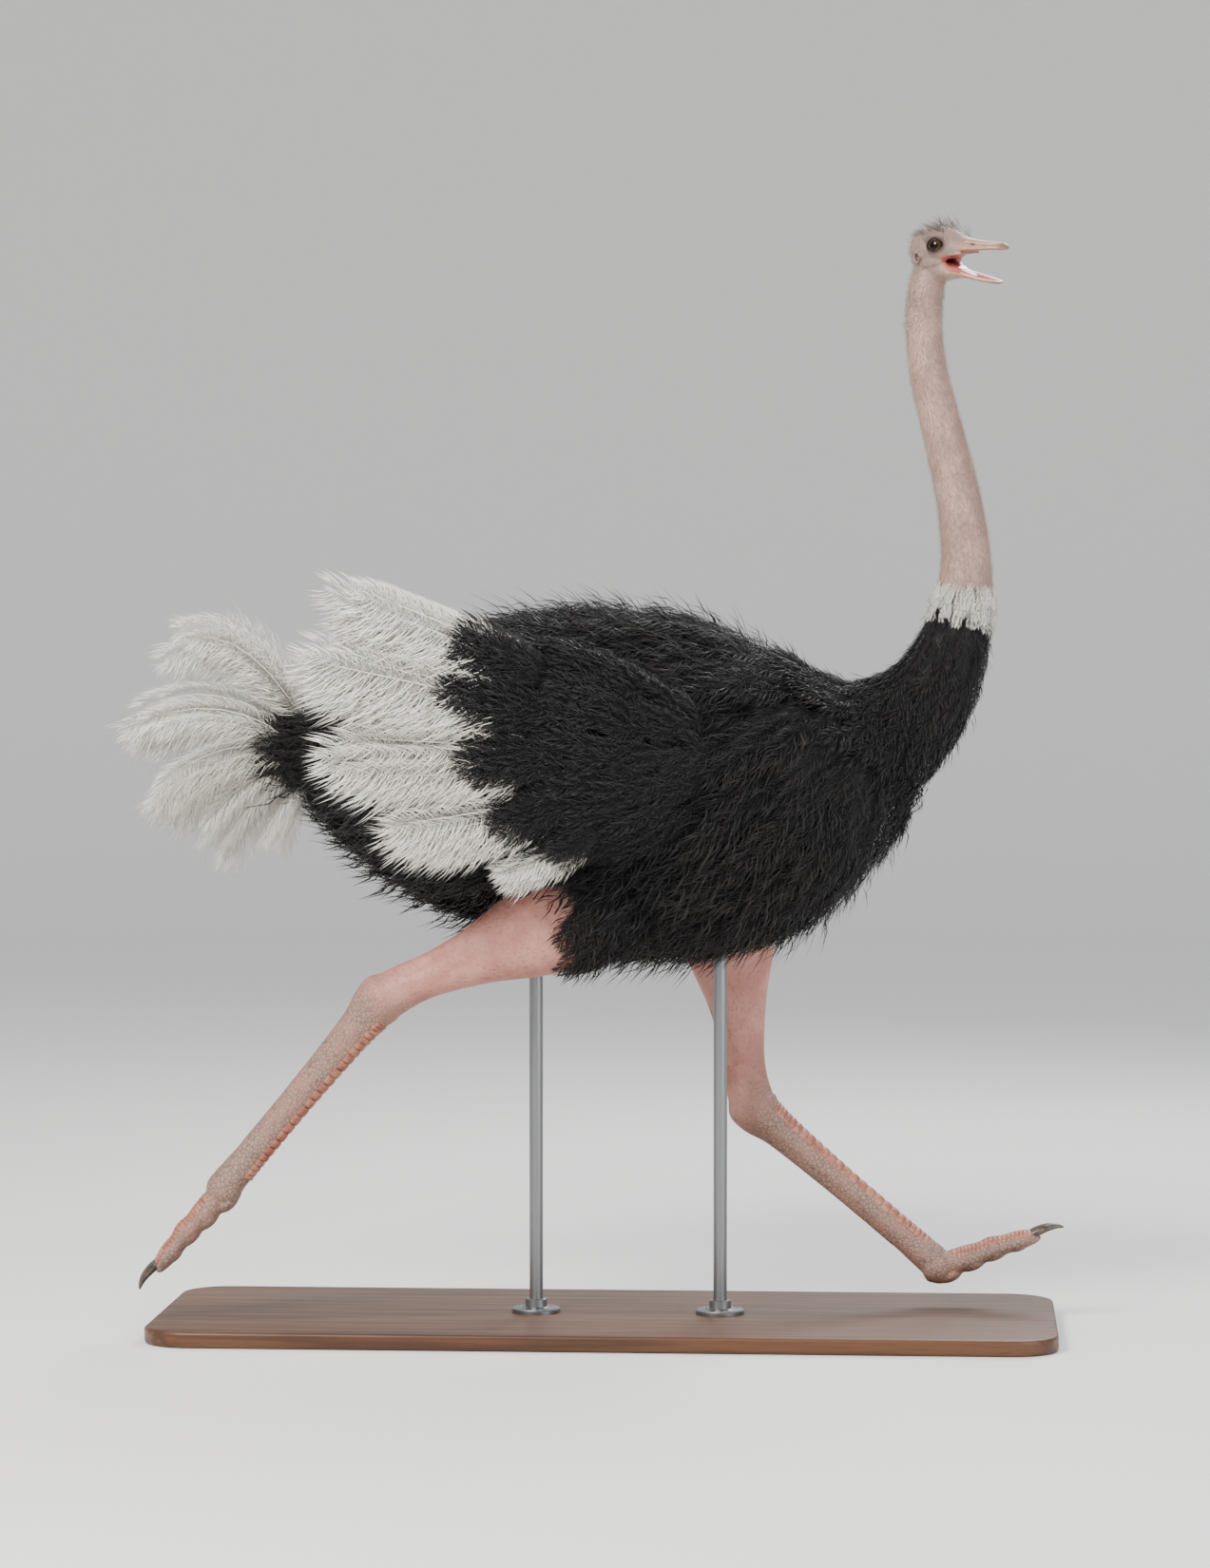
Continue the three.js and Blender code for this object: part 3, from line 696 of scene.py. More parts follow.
SMALL_TOE = Limb(
    [
        (0.006, 0, -0.006, 0.018, 0.018),
        (0.032, 0, -0.009, 0.0190, 0.0165),
        (0.052, 0, -0.011, 0.0200, 0.0165),
        (0.070, 0, -0.013, 0.0170, 0.0140),
        (0.088, 0, -0.014, 0.0180, 0.0145),
        (0.106, 0, -0.017, 0.0150, 0.0115),
        (0.120, 0, -0.019, 0.0085, 0.0070),
    ],
    ends=(0.05, 0.12),
)


TOE_SPREAD = 24
ANKLE = 0.925


def small_toe_frame(side):
    return Matrix.Translation(mirrored((0, 0.016, 0), side)) @ tilt("Z", TOE_SPREAD * SIDES[side])


def pads(bm, places, sole, length, fineness):
    """A row of soft pads under a toe. The places are (x, half width, half height)."""
    verts = []
    for x, width, height in places:
        verts += ball(bm, (x, 0, sole), (length, width, height), fineness)
    return verts


def foot_clay(side):
    bm = bmesh.new()
    rolled(bm, KNUCKLE.at, 36, 20)
    rolled(bm, BIG_TOE.at, 36, 60)
    pads(bm, ((0.012, 0.029, 0.016), (0.062, 0.028, 0.013), (0.108, 0.025, 0.012)), -0.024, 0.027, 24)
    pads(bm, ((0.156, 0.023, 0.010), (0.182, 0.019, 0.008)), -0.028, 0.020, 20)
    outer = rolled(bm, SMALL_TOE.at, 30, 40)
    outer += pads(
        bm, ((0.020, 0.017, 0.010), (0.052, 0.016, 0.009), (0.088, 0.015, 0.008)), -0.019, 0.018, 20
    )
    bmesh.ops.transform(bm, verts=outer, matrix=small_toe_frame(side))
    bmesh.ops.transform(bm, verts=bm.verts, matrix=foot_frame(side))
    shin = SHINS[side]

    def ankle(turn, share):
        return shin.at(turn, share, 0.0018 - 0.10 * np.clip(share - ANKLE, 0, 0.022))

    rolled(bm, ankle, 36, 16, ANKLE, 1.0)
    return to_object(bm, f"foot_{side}")


# %% [markdown]
# ## One skin
# The trunk, neck, shins, thighs, wing arms and tail stump are rolled from their maps at the depth
# of the coat that will cover them. Joined to the head and the feet they make one closed skin. Where
# bare parts meet in plain sight, at the nape, the knees and the ankles, the join is then smoothed.

# %% Wing arms
WING_JOINTS = {
    "shoulder": (0.240, 0.205, 1.120),
    "elbow": (-0.042, 0.318, 1.000),
    "wrist": (-0.066, 0.345, 1.142),
    "tip": (-0.092, 0.356, 1.248),
}


def arm_of(side, start, end, wide, tall):
    a, b = (mirrored(WING_JOINTS[j], side) for j in (start, end))
    middle = (a + b) / 2
    rows = [(*a, wide, tall[0]), (*middle, wide * 1.1, tall[1]), (*b, wide, tall[2])]
    return Limb(rows, ends=(0.3, 0.3))


ARM_PLAN = [
    ("shoulder", "elbow", 0.030, (0.060, 0.080, 0.064)),
    ("elbow", "wrist", 0.022, (0.050, 0.052, 0.044)),
    ("wrist", "tip", 0.016, (0.040, 0.034, 0.024)),
]
TAIL_STUB = Limb(
    [(-0.500, 0, 1.094, 0.060, 0.060), (-0.578, 0, 1.100, 0.046, 0.044), (-0.636, 0, 1.106, 0.026, 0.022)],
    ends=(0, 0.3),
)


def neck_depth(share):
    """The down is thin on the bare neck, and black feathers thicken it towards the trunk."""
    return NECK_DOWN + 0.030 * np.clip((0.42 - share) / 0.42, 0, 1) ** 1.2


def neck_skin(turn, share):
    return NECK.at(turn, share, neck_depth(share))


def thigh_depth(share):
    return np.full_like(share, 0.024)


def shin_depth(share):
    """The drumstick's top is under the coat, and the rest of the leg is bare."""
    return 0.022 * np.clip((0.16 - share) / 0.16, 0, 1)


def body_shell(place, sides, rings, low=0.0, high=1.0):
    bm = bmesh.new()
    rolled(bm, place, sides, rings, low, high)
    return to_object(bm, "shell")


def whole_skin(head_piece):
    skin = body_shell(lambda turn, share: TRUNK.at(turn, share, COAT), 40, 44, 0.05, 0.95)
    joined(skin, body_shell(neck_skin, 60, 270, 0.0, 0.95))
    joined(skin, head_piece)
    for side in SIDES:
        thigh, shin = THIGHS[side], SHINS[side]
        joined(skin, body_shell(lambda t, s: thigh.at(t, s, thigh_depth(s)), 36, 24))
        joined(skin, body_shell(lambda t, s: shin.at(t, s, shin_depth(s)), 48, 150, 0.0, 0.955))
        joined(skin, remeshed(foot_clay(side), 0.0026, 5))
        for start, end, wide, tall in ARM_PLAN:
            joined(skin, body_shell(arm_of(side, start, end, wide, tall).at, 20, 14))
    joined(skin, body_shell(TAIL_STUB.at, 24, 12))
    skin.name = "skin"
    return skin


def ease_joins(obj, spots, rounds):
    """Smooths the skin round a few points, each with the radius it reaches."""
    bm = bmesh.new()
    bm.from_mesh(obj.data)
    every_way = {"use_axis_x": True, "use_axis_y": True, "use_axis_z": True}
    for centre, radius in spots:
        near = [v for v in bm.verts if (v.co - Vector(centre)).length < radius]
        for _ in range(rounds):
            bmesh.ops.smooth_vert(bm, verts=near, factor=0.5, **every_way)
    for face in bm.faces:
        face.smooth = True
    bm.to_mesh(obj.data)
    bm.free()


skin = whole_skin(head)
ankles = [(smooth(SHINS[side].rows, 0.945)[:3], 0.045) for side in SIDES]
knees = [(LEG_JOINTS[side]["knee"], 0.13) for side in SIDES]
nape = [(smooth(NECK.rows, 0.93)[:3], 0.052)]
ease_joins(skin, ankles + nape + knees, 12)
print("skin:", len(skin.data.polygons), "faces")

# %% [markdown]
# ## Bill, tongue and gape
# The bill is horn: broad, flat and blunt, with a ridge along its middle, a shallow groove on either
# side of it where the nostrils lie, and a nail at its tip. Both halves are rolled tubes. The ridge,
# the grooves, the nostrils and the trough of the lower half are swells of the same map.

# %% The bill's two halves
NOSTRIL_SHARE = 0.36
NOSTRIL_TURNS = (40, 140)
NOSTRIL_HALF = (0.0064, 0.0034, 0.0021)
BILL = Limb(
    [
        (0.054, 0, -0.003, 0.0285, 0.0190, 0.0080),
        (0.070, 0, -0.0035, 0.0305, 0.0172, 0.0088),
        (0.088, 0, -0.005, 0.0290, 0.0140, 0.0080),
        (0.108, 0, -0.0067, 0.0272, 0.0112, 0.0070),
        (0.128, 0, -0.0085, 0.0236, 0.0096, 0.0060),
        (0.142, 0, -0.0102, 0.0180, 0.0084, 0.0055),
        (0.154, 0, -0.0130, 0.0110, 0.0062, 0.0050),
    ],
    ends=(0, 0.09),
    swells=(
        (0.45, 0.50, 90, 13, 0.0013),
        (0.30, 0.32, 62, 9, -0.0017),
        (0.30, 0.32, 118, 9, -0.0017),
        *[(NOSTRIL_SHARE, 0.090, turn, 12, -0.0016) for turn in NOSTRIL_TURNS],
        (0.79, 0.020, 90, 80, -0.0007),
        (0.88, 0.060, 90, 40, 0.0011),
        (0.35, 0.55, 270, 40, -0.0046),
    ),
)
MANDIBLE = Limb(
    [
        (0.026, 0, -0.0020, 0.0300, 0.0050, 0.0100),
        (0.056, 0, -0.0015, 0.0305, 0.0050, 0.0092),
        (0.088, 0, 0.0000, 0.0282, 0.0045, 0.0080),
        (0.122, 0, 0.0015, 0.0245, 0.0040, 0.0065),
        (0.144, 0, 0.0028, 0.0190, 0.0036, 0.0054),
        (0.160, 0, 0.0042, 0.0105, 0.0028, 0.0040),
    ],
    ends=(0, 0.10),
    swells=((0.38, 0.50, 90, 42, -0.0100), (0.55, 0.40, 270, 20, 0.0008), (0.86, 0.020, 270, 90, -0.0006)),
)


def stamp(obj, name, values):
    """Writes one number for each point of a mesh, for its material to read."""
    layer = obj.data.attributes.new(name, "FLOAT", "POINT")
    layer.data.foreach_set("value", np.asarray(values, np.float32))


def nostril_frames():
    """A slit lies along the bill, in the hollow beside its ridge."""
    for turn, place in zip(NOSTRIL_TURNS, BILL.at(np.radians(NOSTRIL_TURNS), NOSTRIL_SHARE)):
        yield Matrix.Translation(place) @ tilt("X", 50 if turn < 90 else -50) @ tilt("Y", 8)


def horn_piece(name, limb, frame_matrix, inner_side, slits=()):
    """A bill half, which knows its inner face: the side is 1 if that looks up, and -1 if down."""
    bm = bmesh.new()
    rolled(bm, limb.at, 96, 110)
    made = to_object(bm, name)
    for slit in slits:
        bm = bmesh.new()
        ball(bm, (0, 0, 0), NOSTRIL_HALF, 32)
        bmesh.ops.transform(bm, verts=bm.verts, matrix=slit)
        joined(made, to_object(bm, "nostril_cut"), "DIFFERENCE")
    points = np.array([v.co for v in made.data.vertices])
    facing = np.array([v.normal.z for v in made.data.vertices]) * inner_side
    half = np.interp(points[:, 0], limb.rows[:, 0], limb.rows[:, 3])
    rim = np.clip(np.abs(points[:, 1]) / half, 0, 1) ** 8
    stamp(made, "inner", np.clip(facing / 0.5, 0, 1) * (1 - rim))
    stamp(made, "tip", np.interp(points[:, 0], limb.rows[[0, -1], 0], (0, 1)))
    # Painted shade: near-black in and round each nostril's shallow hollow.
    nostril_shade_share = np.zeros(len(points))
    for slit in slits:
        near = np.linalg.norm(moved_by(slit.inverted(), points) / NOSTRIL_HALF, axis=1)
        nostril_shade_share = np.maximum(nostril_shade_share, np.clip((1.16 - near) / 0.14, 0, 1))
    stamp(made, "nostril_shade", nostril_shade_share)
    made.data.transform(frame_matrix)
    return made


bill_upper = horn_piece("bill_upper_horn", BILL, HEAD, -1, list(nostril_frames()))
bill_lower = horn_piece("bill_lower_horn", MANDIBLE, JAW, 1)
print("bill:", len(bill_upper.data.polygons), "and", len(bill_lower.data.polygons), "faces")

# %% The tongue, on the mouth's soft floor
TONGUE = Limb(
    [
        (0.036, 0, -0.0006, 0.0130, 0.0050, 0.006),
        (0.058, 0, -0.0004, 0.0150, 0.0054, 0.006),
        (0.078, 0, -0.0006, 0.0142, 0.0048, 0.005),
        (0.092, 0, -0.0012, 0.0112, 0.0038, 0.004),
        (0.102, 0, -0.0022, 0.0062, 0.0024, 0.003),
    ],
    ends=(0.25, 0.16),
    swells=((0.5, 0.4, 90, 16, -0.0016),),
)


def tongue_piece():
    bm = bmesh.new()
    rolled(bm, TONGUE.at, 36, 30)
    ball(bm, (0.050, 0, -0.0048), (0.044, 0.0235, 0.0052), 32)
    ball(bm, (0.030, 0, -0.0020), (0.024, 0.0240, 0.0080), 28)
    made = remeshed(to_object(bm, "tongue_and_floor"), 0.0011, 4)
    made.data.transform(JAW)
    return made


tongue = tongue_piece()

# %% [markdown]
# ## The eyes
# An ostrich's eye is bigger than its brain: a dark brown ball, here 45 mm across, with long black
# lashes on stiff lids. The ball is a sphere with a slight bulge for the cornea. It carries each
# point's angle from the way it looks, so the pupil and the iris are rings of that one number.

# %% Eyeballs and lashes


def eyeball(side):
    bm = bmesh.new()
    ball(bm, (0, 0, 0), (EYE_RADIUS,) * 3, 56)
    for vert in bm.verts:
        facing = max(0.0, vert.co.normalized().z)
        vert.co *= 1 + 0.030 * max(0.0, (facing - 0.80) / 0.20) ** 1.5
    made = to_object(bm, f"eyeball_{side}")
    points = np.array([v.co for v in made.data.vertices])
    stamp(made, "angle", np.arccos(np.clip(unit(points)[:, 2], -1, 1)) / np.pi)
    stamp(made, "spoke", np.arctan2(points[:, 1], points[:, 0]))
    made.data.transform(HEAD @ eye_frame(side))
    return made


# Each lid's lashes: which way they curl, how many, how long, and how far their roots part.
LASH_ROWS = ((1, 30, 0.0175, 0.0137), (-1, 17, 0.0095, 0.0127))
LASH_RADIUS = 0.0240
LASH_GIRTH = 0.00042


def lash(bm, root, lean, length, thick, rise):
    """One tapered hair, from a root on the lid, leaning outwards and curling up."""

    def place(turn, share):
        line = root + np.outer(share, lean) * length + np.outer(share**2, (0, rise, 0)) * length
        girth = thick * (1 - 0.85 * share)[:, None] * (share > 0)[:, None] * (share < 1)[:, None]
        return line + girth * np.stack([np.cos(turn), np.sin(turn), 0 * turn], axis=1)

    rolled(bm, place, 3, 5)


def lashes(side):
    """Two rows of lashes, longest in the middle of each lid."""
    bm = bmesh.new()
    for upper, count, length, height in LASH_ROWS:
        for i in range(count):
            angle = np.pi * (0.08 + 0.84 * i / (count - 1))
            x, y = SLIT_HALF * np.cos(angle), upper * height * np.sin(angle) ** 0.8
            root = np.array([x, y, np.sqrt(LASH_RADIUS**2 - x * x - y * y)])
            lean = unit(root * (1.1, 0.9, 0.8) + (0, upper * 0.008, 0) + RNG.normal(0, 0.0014, 3))
            grown = length * RNG.uniform(0.8, 1.1) * (0.65 + 0.35 * np.sin(angle))
            lash(bm, root, lean, grown, LASH_GIRTH, 0.45 * upper)
    made = to_object(bm, f"lashes_{side}")
    made.data.transform(HEAD @ eye_frame(side))
    return made


eyeballs = {side: eyeball(side) for side in SIDES}
eyelashes = {side: lashes(side) for side in SIDES}
print("lashes on each eye:", sum(row[1] for row in LASH_ROWS))

# %% [markdown]
# ## Scutes and claws
# Broad horny plates, the scutes, run down the front of the tarsus and over the toes like roof
# tiles. Each one is a small grid laid on the limb's map, bowed up in its middle and given a
# thickness. They are joined as one piece on each leg.

# %% Scutes


def plate(bm, place, turn, arc, share, long, thick):
    """One tile: a grid over a patch of a limb's map, raised in its middle and at its lower edge."""
    grid = bmesh.ops.create_grid(bm, x_segments=8, y_segments=4, size=0.5)["verts"]
    flat = np.array([v.co for v in grid])
    corner = 1 - 0.16 * (2 * np.abs(flat[:, 0])) ** 3
    turns = turn + flat[:, 0] * arc
    shares = share + flat[:, 1] * long * corner
    crown = (1 - (2 * np.abs(flat[:, 0])) ** 4) * (1 - (2 * np.abs(flat[:, 1])) ** 6)
    lift = thick * (0.15 + crown) + 0.35 * thick * flat[:, 1]
    for vert, point in zip(grid, place(turns, shares, -lift)):
        vert.co = point
    faces = dict.fromkeys(f for v in grid for f in v.link_faces)
    bmesh.ops.solidify(bm, geom=list(faces), thickness=thick * 1.1)


def scute_rows(side):
    """Rows of tiles: the limb they lie on, its frame, their shares along it, arc and thickness."""
    foot = foot_frame(side)
    return [
        (SHINS[side], Matrix(), np.linspace(0.655, 0.955, 25), 1.9, 0.0016),
        (BIG_TOE, foot, np.linspace(0.10, 0.90, 19), 2.1, 0.0013),
        (SMALL_TOE, foot @ small_toe_frame(side), np.linspace(0.10, 0.88, 12), 2.1, 0.0010),
    ]


def scutes(side):
    bm = bmesh.new()
    for limb, turned, shares, arc, thick in scute_rows(side):
        long = (shares[1] - shares[0]) * 0.97
        for share in shares:
            turn = np.pi / 2 + RNG.normal(0, 0.02)
            plate(bm, moved(limb.at, turned), turn, arc * RNG.uniform(0.94, 1.04), share, long, thick)
    return to_object(bm, f"scutes_{side}")


leg_scutes = {side: scutes(side) for side in SIDES}
print("scutes on each leg:", sum(len(row[2]) for row in scute_rows("left")))

# %% Claws
CLAW = Limb(
    [
        (0.176, 0, -0.0175, 0.0135, 0.0085),
        (0.200, 0, -0.0168, 0.0152, 0.0098),
        (0.222, 0, -0.0185, 0.0125, 0.0080),
        (0.238, 0, -0.0230, 0.0072, 0.0050),
        (0.249, 0, -0.0295, 0.0016, 0.0014),
    ],
    ends=(0, 0.06),
    swells=((0.45, 0.5, 90, 20, 0.0014), (0.5, 0.5, 270, 40, -0.0022)),
)
NAIL = Limb(
    [
        (0.106, 0, -0.0165, 0.0076, 0.0052),
        (0.119, 0, -0.0160, 0.0082, 0.0056),
        (0.130, 0, -0.0185, 0.0055, 0.0040),
        (0.138, 0, -0.0240, 0.0014, 0.0012),
    ],
    ends=(0, 0.08),
    swells=((0.45, 0.5, 90, 22, 0.0006),),
)


def claws(side):
    bm = bmesh.new()
    turned = foot_frame(side)
    rolled(bm, moved(CLAW.at, turned), 36, 30)
    rolled(bm, moved(NAIL.at, turned @ small_toe_frame(side)), 28, 20)
    return to_object(bm, f"claws_{side}")


leg_claws = {side: claws(side) for side in SIDES}

# %% [markdown]
# ## The stand
# A stained wooden base with rounded edges, and two brushed steel rods. Each rod stands in a turned
# flange with a collar, held down by three low round-headed screws. The base's box and the rods'
# places, girths and tops are read from the frame.

# %% The base
BASE_CORNER = 0.090
BASE_EDGE = 0.006


def wooden_base():
    low, high = (Vector(corner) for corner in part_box("stand_base"))
    size = high - low
    bm = bmesh.new()
    block = Matrix.Translation((low + high) / 2) @ Matrix.Diagonal((*size, 1))
    bmesh.ops.create_cube(bm, size=1, matrix=block)
    uprights = [e for e in bm.edges if abs(e.verts[0].co.z - e.verts[1].co.z) > size.z / 2]
    rounded(bm, uprights, BASE_CORNER, 14)
    rim = [e for e in bm.edges if abs(e.verts[0].co.z - e.verts[1].co.z) < 1e-5]
    rounded(bm, rim, BASE_EDGE, 4)
    return to_object(bm, "wooden_base", shade=False)


base = wooden_base()
print("base:", len(base.data.polygons), "faces")

# %% Rods and flanges
# Half profiles as (radius, height over the seat).
FLANGE = (
    (0.046, 0),
    (0.046, 0.006),
    (0.0445, 0.008),
    (0.0235, 0.0085),
    (0.0212, 0.010),
    (0.0208, 0.0245),
    (0.0192, 0.026),
)
SCREW = ((0, 0), (0.0044, 0), (0.0040, 0.0012), (0.0014, 0.0012), (0.0012, 0.0004), (0, 0.0004))
SCREW_SEAT = 0.0081
SCREW_CIRCLE = 0.034
ROD_CHAMFER = 0.002


def turned_profile(bm, profile, centre, steps=56):
    """Spins a profile of (radius, height) round an upright axis."""
    verts = [bm.verts.new((centre[0] + r, centre[1], h)) for r, h in profile]
    edges = [bm.edges.new(pair) for pair in zip(verts, verts[1:])]
    spun = verts + edges
    bmesh.ops.spin(
        bm, geom=spun, cent=(*centre, 0), axis=(0, 0, 1), angle=2 * np.pi, steps=steps, use_merge=True
    )
    bmesh.ops.remove_doubles(bm, verts=bm.verts, dist=1e-6)


def steelwork(where):
    (left, _, foot), (right, _, top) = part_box(f"stand_rod_{where}")
    x, radius = (left + right) / 2, (right - left) / 2
    bm = bmesh.new()
    tip = [(radius, top - ROD_CHAMFER), (radius - ROD_CHAMFER, top), (0, top)]
    turned_profile(bm, [(0, foot), (radius, foot), *tip], (x, 0))
    bore = radius - 0.001
    collar = [(bore, 0), *FLANGE, (bore, FLANGE[-1][1]), (bore, 0)]
    turned_profile(bm, [(r, foot + h) for r, h in collar], (x, 0))
    for degrees in (30, 150, 270):
        angle = np.radians(degrees)
        centre = (x + SCREW_CIRCLE * np.cos(angle), SCREW_CIRCLE * np.sin(angle))
        turned_profile(bm, [(r, foot + SCREW_SEAT + h) for r, h in SCREW], centre, 18)
    return to_object(bm, f"steelwork_{where}", shade=False)


stand_steel = {where: steelwork(where) for where in ("front", "rear")}


SOFT_EDGE = np.radians(32)


def soften(obj):
    """Smooth shading across gentle edges only."""
    bm = bmesh.new()
    bm.from_mesh(obj.data)
    for face in bm.faces:
        face.smooth = True
    for edge in bm.edges:
        edge.smooth = bool(edge.calc_face_angle(0) < SOFT_EDGE)
    bm.to_mesh(obj.data)
    bm.free()


for piece in (base, *stand_steel.values()):
    soften(piece)

# %% [markdown]
# ## Feathers, first one flat
# An ostrich's feathers don't zip together: the barbs hang loose on both sides of the shaft, which
# makes the coat a soft mop. So a feather here is a thin shaft with two rows of separate locks, each
# a closed three-sided blade. A few flat, straight feathers of length 1 are modelled once; later
# they are laid along curved spines by the thousand. Every kind gets a few seeded variants.

# %% Flat feathers of length 1


def blade(bm, root, out, length, sweep, lift, droop, width, steps):
    """A lock of barbs that leaves the shaft at the first angle of its sweep and turns to the second."""
    first, last = np.radians(sweep)
    bend = last - first

    def place(turn, share):
        angle = first + bend * share
        x = (np.sin(angle) - np.sin(first)) / bend * length
        y = (np.cos(first) - np.cos(angle)) / bend * length * out
        z = (lift * share - droop * share**2) * length
        girth = width * np.sin(np.pi * np.clip(share, 0, 1) ** 0.75) ** 0.8
        across = girth * np.cos(turn)
        flat = np.stack([x - np.sin(angle) * across, y + np.cos(angle) * across * out, z], axis=1)
        return root + flat + np.outer(0.35 * girth * np.sin(turn), (0, 0, 1))

    rolled(bm, place, 3, steps)


def arrays_of(bm):
    """A bmesh as its points, its faces' corners in one row, and each face's number of corners."""
    bm.verts.index_update()
    points = np.array([v.co for v in bm.verts])
    faces = [[v.index for v in face.verts] for face in bm.faces]
    bm.free()
    return points, np.concatenate(faces), np.array([len(face) for face in faces])


LAST_LOCK = 0.985


def flat_feather(seed, pairs, barb, width, steps, sweep, fluff, full, start, shaft, narrow):
    """A feather of length 1 along X with pairs of locks, as arrays.

    barb and width are a lock's length and half width, and shaft is the shaft's half width. start
    says where the locks begin, full where they are longest, and narrow how much they close up at
    the tip. A lock leaves the shaft at the first angle of sweep and ends at the second, and fluff
    lifts it out of the feather's plane.
    """
    shuffle = np.random.default_rng(seed)
    bm = bmesh.new()
    blade(bm, np.zeros(3), 1, 1.0, (-0.6, 0.6), 0, 0, shaft, 6)
    for i in range(pairs):
        for out in (-1, 1):
            x = start + (LAST_LOCK - start) * (i + shuffle.uniform(0, 1)) / pairs
            reach = np.interp(x, (0, 0.3, full, 1), (0.60, 0.92, 1.0, 0.55))
            length = barb * reach * shuffle.uniform(0.74, 1.14)
            close = 1 - narrow * max(0, x - full) / (1 - full)
            leaves = sweep[0] * close * shuffle.uniform(0.8, 1.2)
            ends = sweep[1] * close * shuffle.uniform(0.4, 1.3) + 0.5
            lift = shuffle.normal(0.08, 0.34) * fluff
            droop = shuffle.uniform(-0.2, 0.7) * fluff
            girth = width * shuffle.uniform(0.75, 1.2)
            blade(bm, np.array([x, 0, 0]), out, length, (leaves, ends), lift, droop, girth, steps[i % 2])
    return arrays_of(bm)


def hair_kind(steps, thick):
    """A single tapered hair of length 1."""
    bm = bmesh.new()
    blade(bm, np.zeros(3), 1, 1.0, (-6, 6), 0.0, 0.0, thick, steps)
    return [arrays_of(bm)]


def triangles_in(kind):
    return int((kind[2] - 2).sum())


# %% The three kinds: a long body feather, a short one, and a plume
BODY = {"barb": 0.37, "steps": (2, 2), "full": 0.82, "start": 0.06, "narrow": 0.5}
LONG = {**BODY, "pairs": 24, "width": 0.0105, "sweep": (56, 4), "fluff": 0.8, "shaft": 0.006}
SHORT = {**BODY, "pairs": 16, "width": 0.017, "sweep": (52, 8), "fluff": 0.55, "shaft": 0.008}
PLUME = {
    "pairs": 122,
    "barb": 0.22,
    "width": 0.0035,
    "steps": (3, 2),
    "sweep": (74, 8),
    "fluff": 0.65,
    "full": 0.84,
    "start": 0.08,
    "shaft": 0.004,
    "narrow": 0.55,
}
LONG_KINDS = [flat_feather(seed, **LONG) for seed in range(5)]
SHORT_KINDS = [flat_feather(seed, **SHORT) for seed in range(10, 14)]
PLUME_KINDS = [flat_feather(seed, **PLUME) for seed in range(20, 26)]
print("triangles in one:", [triangles_in(k[0]) for k in (LONG_KINDS, SHORT_KINDS, PLUME_KINDS)])

# %% [markdown]
# ## Planting
# A spine is a row of points that a feather's shaft follows, with the direction its upper face looks
# at each. Planting bends a copy of a flat feather along every spine, all at once with arrays, and
# splits the result into pieces of a size that later tools accept. In the map called OFBake each
# feather is a tiny patch at its root's place on the unwrapped skin.

# %% Bending copies along spines
# A spine runs on past its shaft's tip by this many feather lengths, as the last locks do.
OVERRUN = 1.2
PATCH = 0.003
MOST_TRIANGLES = 188_000


def bent_copies(points, spines, ups, lengths, top, sag):
    """The points of a flat feather, bent along each spine. sag lets the locks' ends hang."""
    steps = spines.shape[1]
    place = np.clip(points[:, 0] / top, 0, 0.9999) * (steps - 1)
    first = place.astype(int)
    share = (place - first)[None, :, None]
    tangents = unit(np.gradient(spines, axis=1))
    sides = unit(np.cross(ups, tangents))
    lifts = np.cross(tangents, sides)

    def between(rows):
        return rows[:, first] * (1 - share) + rows[:, first + 1] * share

    reach = lengths[:, None, None]
    bent = between(spines) + between(sides) * points[None, :, 1:2] * reach
    bent += between(lifts) * points[None, :, 2:] * reach
    bent[..., 2] -= sag * lengths[:, None] * (points[:, 1] / np.abs(points[:, 1]).max())[None] ** 2
    return bent


def patch_maps(points, patches):
    """Where each point of each copy lies in OFBake: its root's place, and its place in the patch."""
    across = (points[:, 1] - points[:, 1].min()) / np.ptp(points[:, 1])
    along = points[:, 0] / points[:, 0].max()
    inner = np.stack([across, along], axis=1) * PATCH
    return np.clip(patches, 0, 1)[:, None] * (1 - PATCH) + inner[None]


def mesh_of(name, points, corners, sizes, uvs, tones, alongs):
    mesh = bpy.data.meshes.new(name)
    mesh.vertices.add(len(points))
    mesh.vertices.foreach_set("co", points.astype(np.float32).ravel())
    mesh.loops.add(len(corners))
    mesh.polygons.add(len(sizes))
    mesh.polygons.foreach_set("loop_start", np.concatenate([[0], np.cumsum(sizes)[:-1]]).astype(np.int32))
    mesh.polygons.foreach_set("vertices", corners.astype(np.int32))
    mesh.update(calc_edges=True)
    mesh.shade_smooth()
    mesh.uv_layers.new(name="OFBake").uv.foreach_set("vector", uvs[corners].astype(np.float32).ravel())
    made = bpy.data.objects.new(name, mesh)
    bpy.context.scene.collection.objects.link(made)
    stamp(made, "tone", tones)
    stamp(made, "along", alongs)
    return made


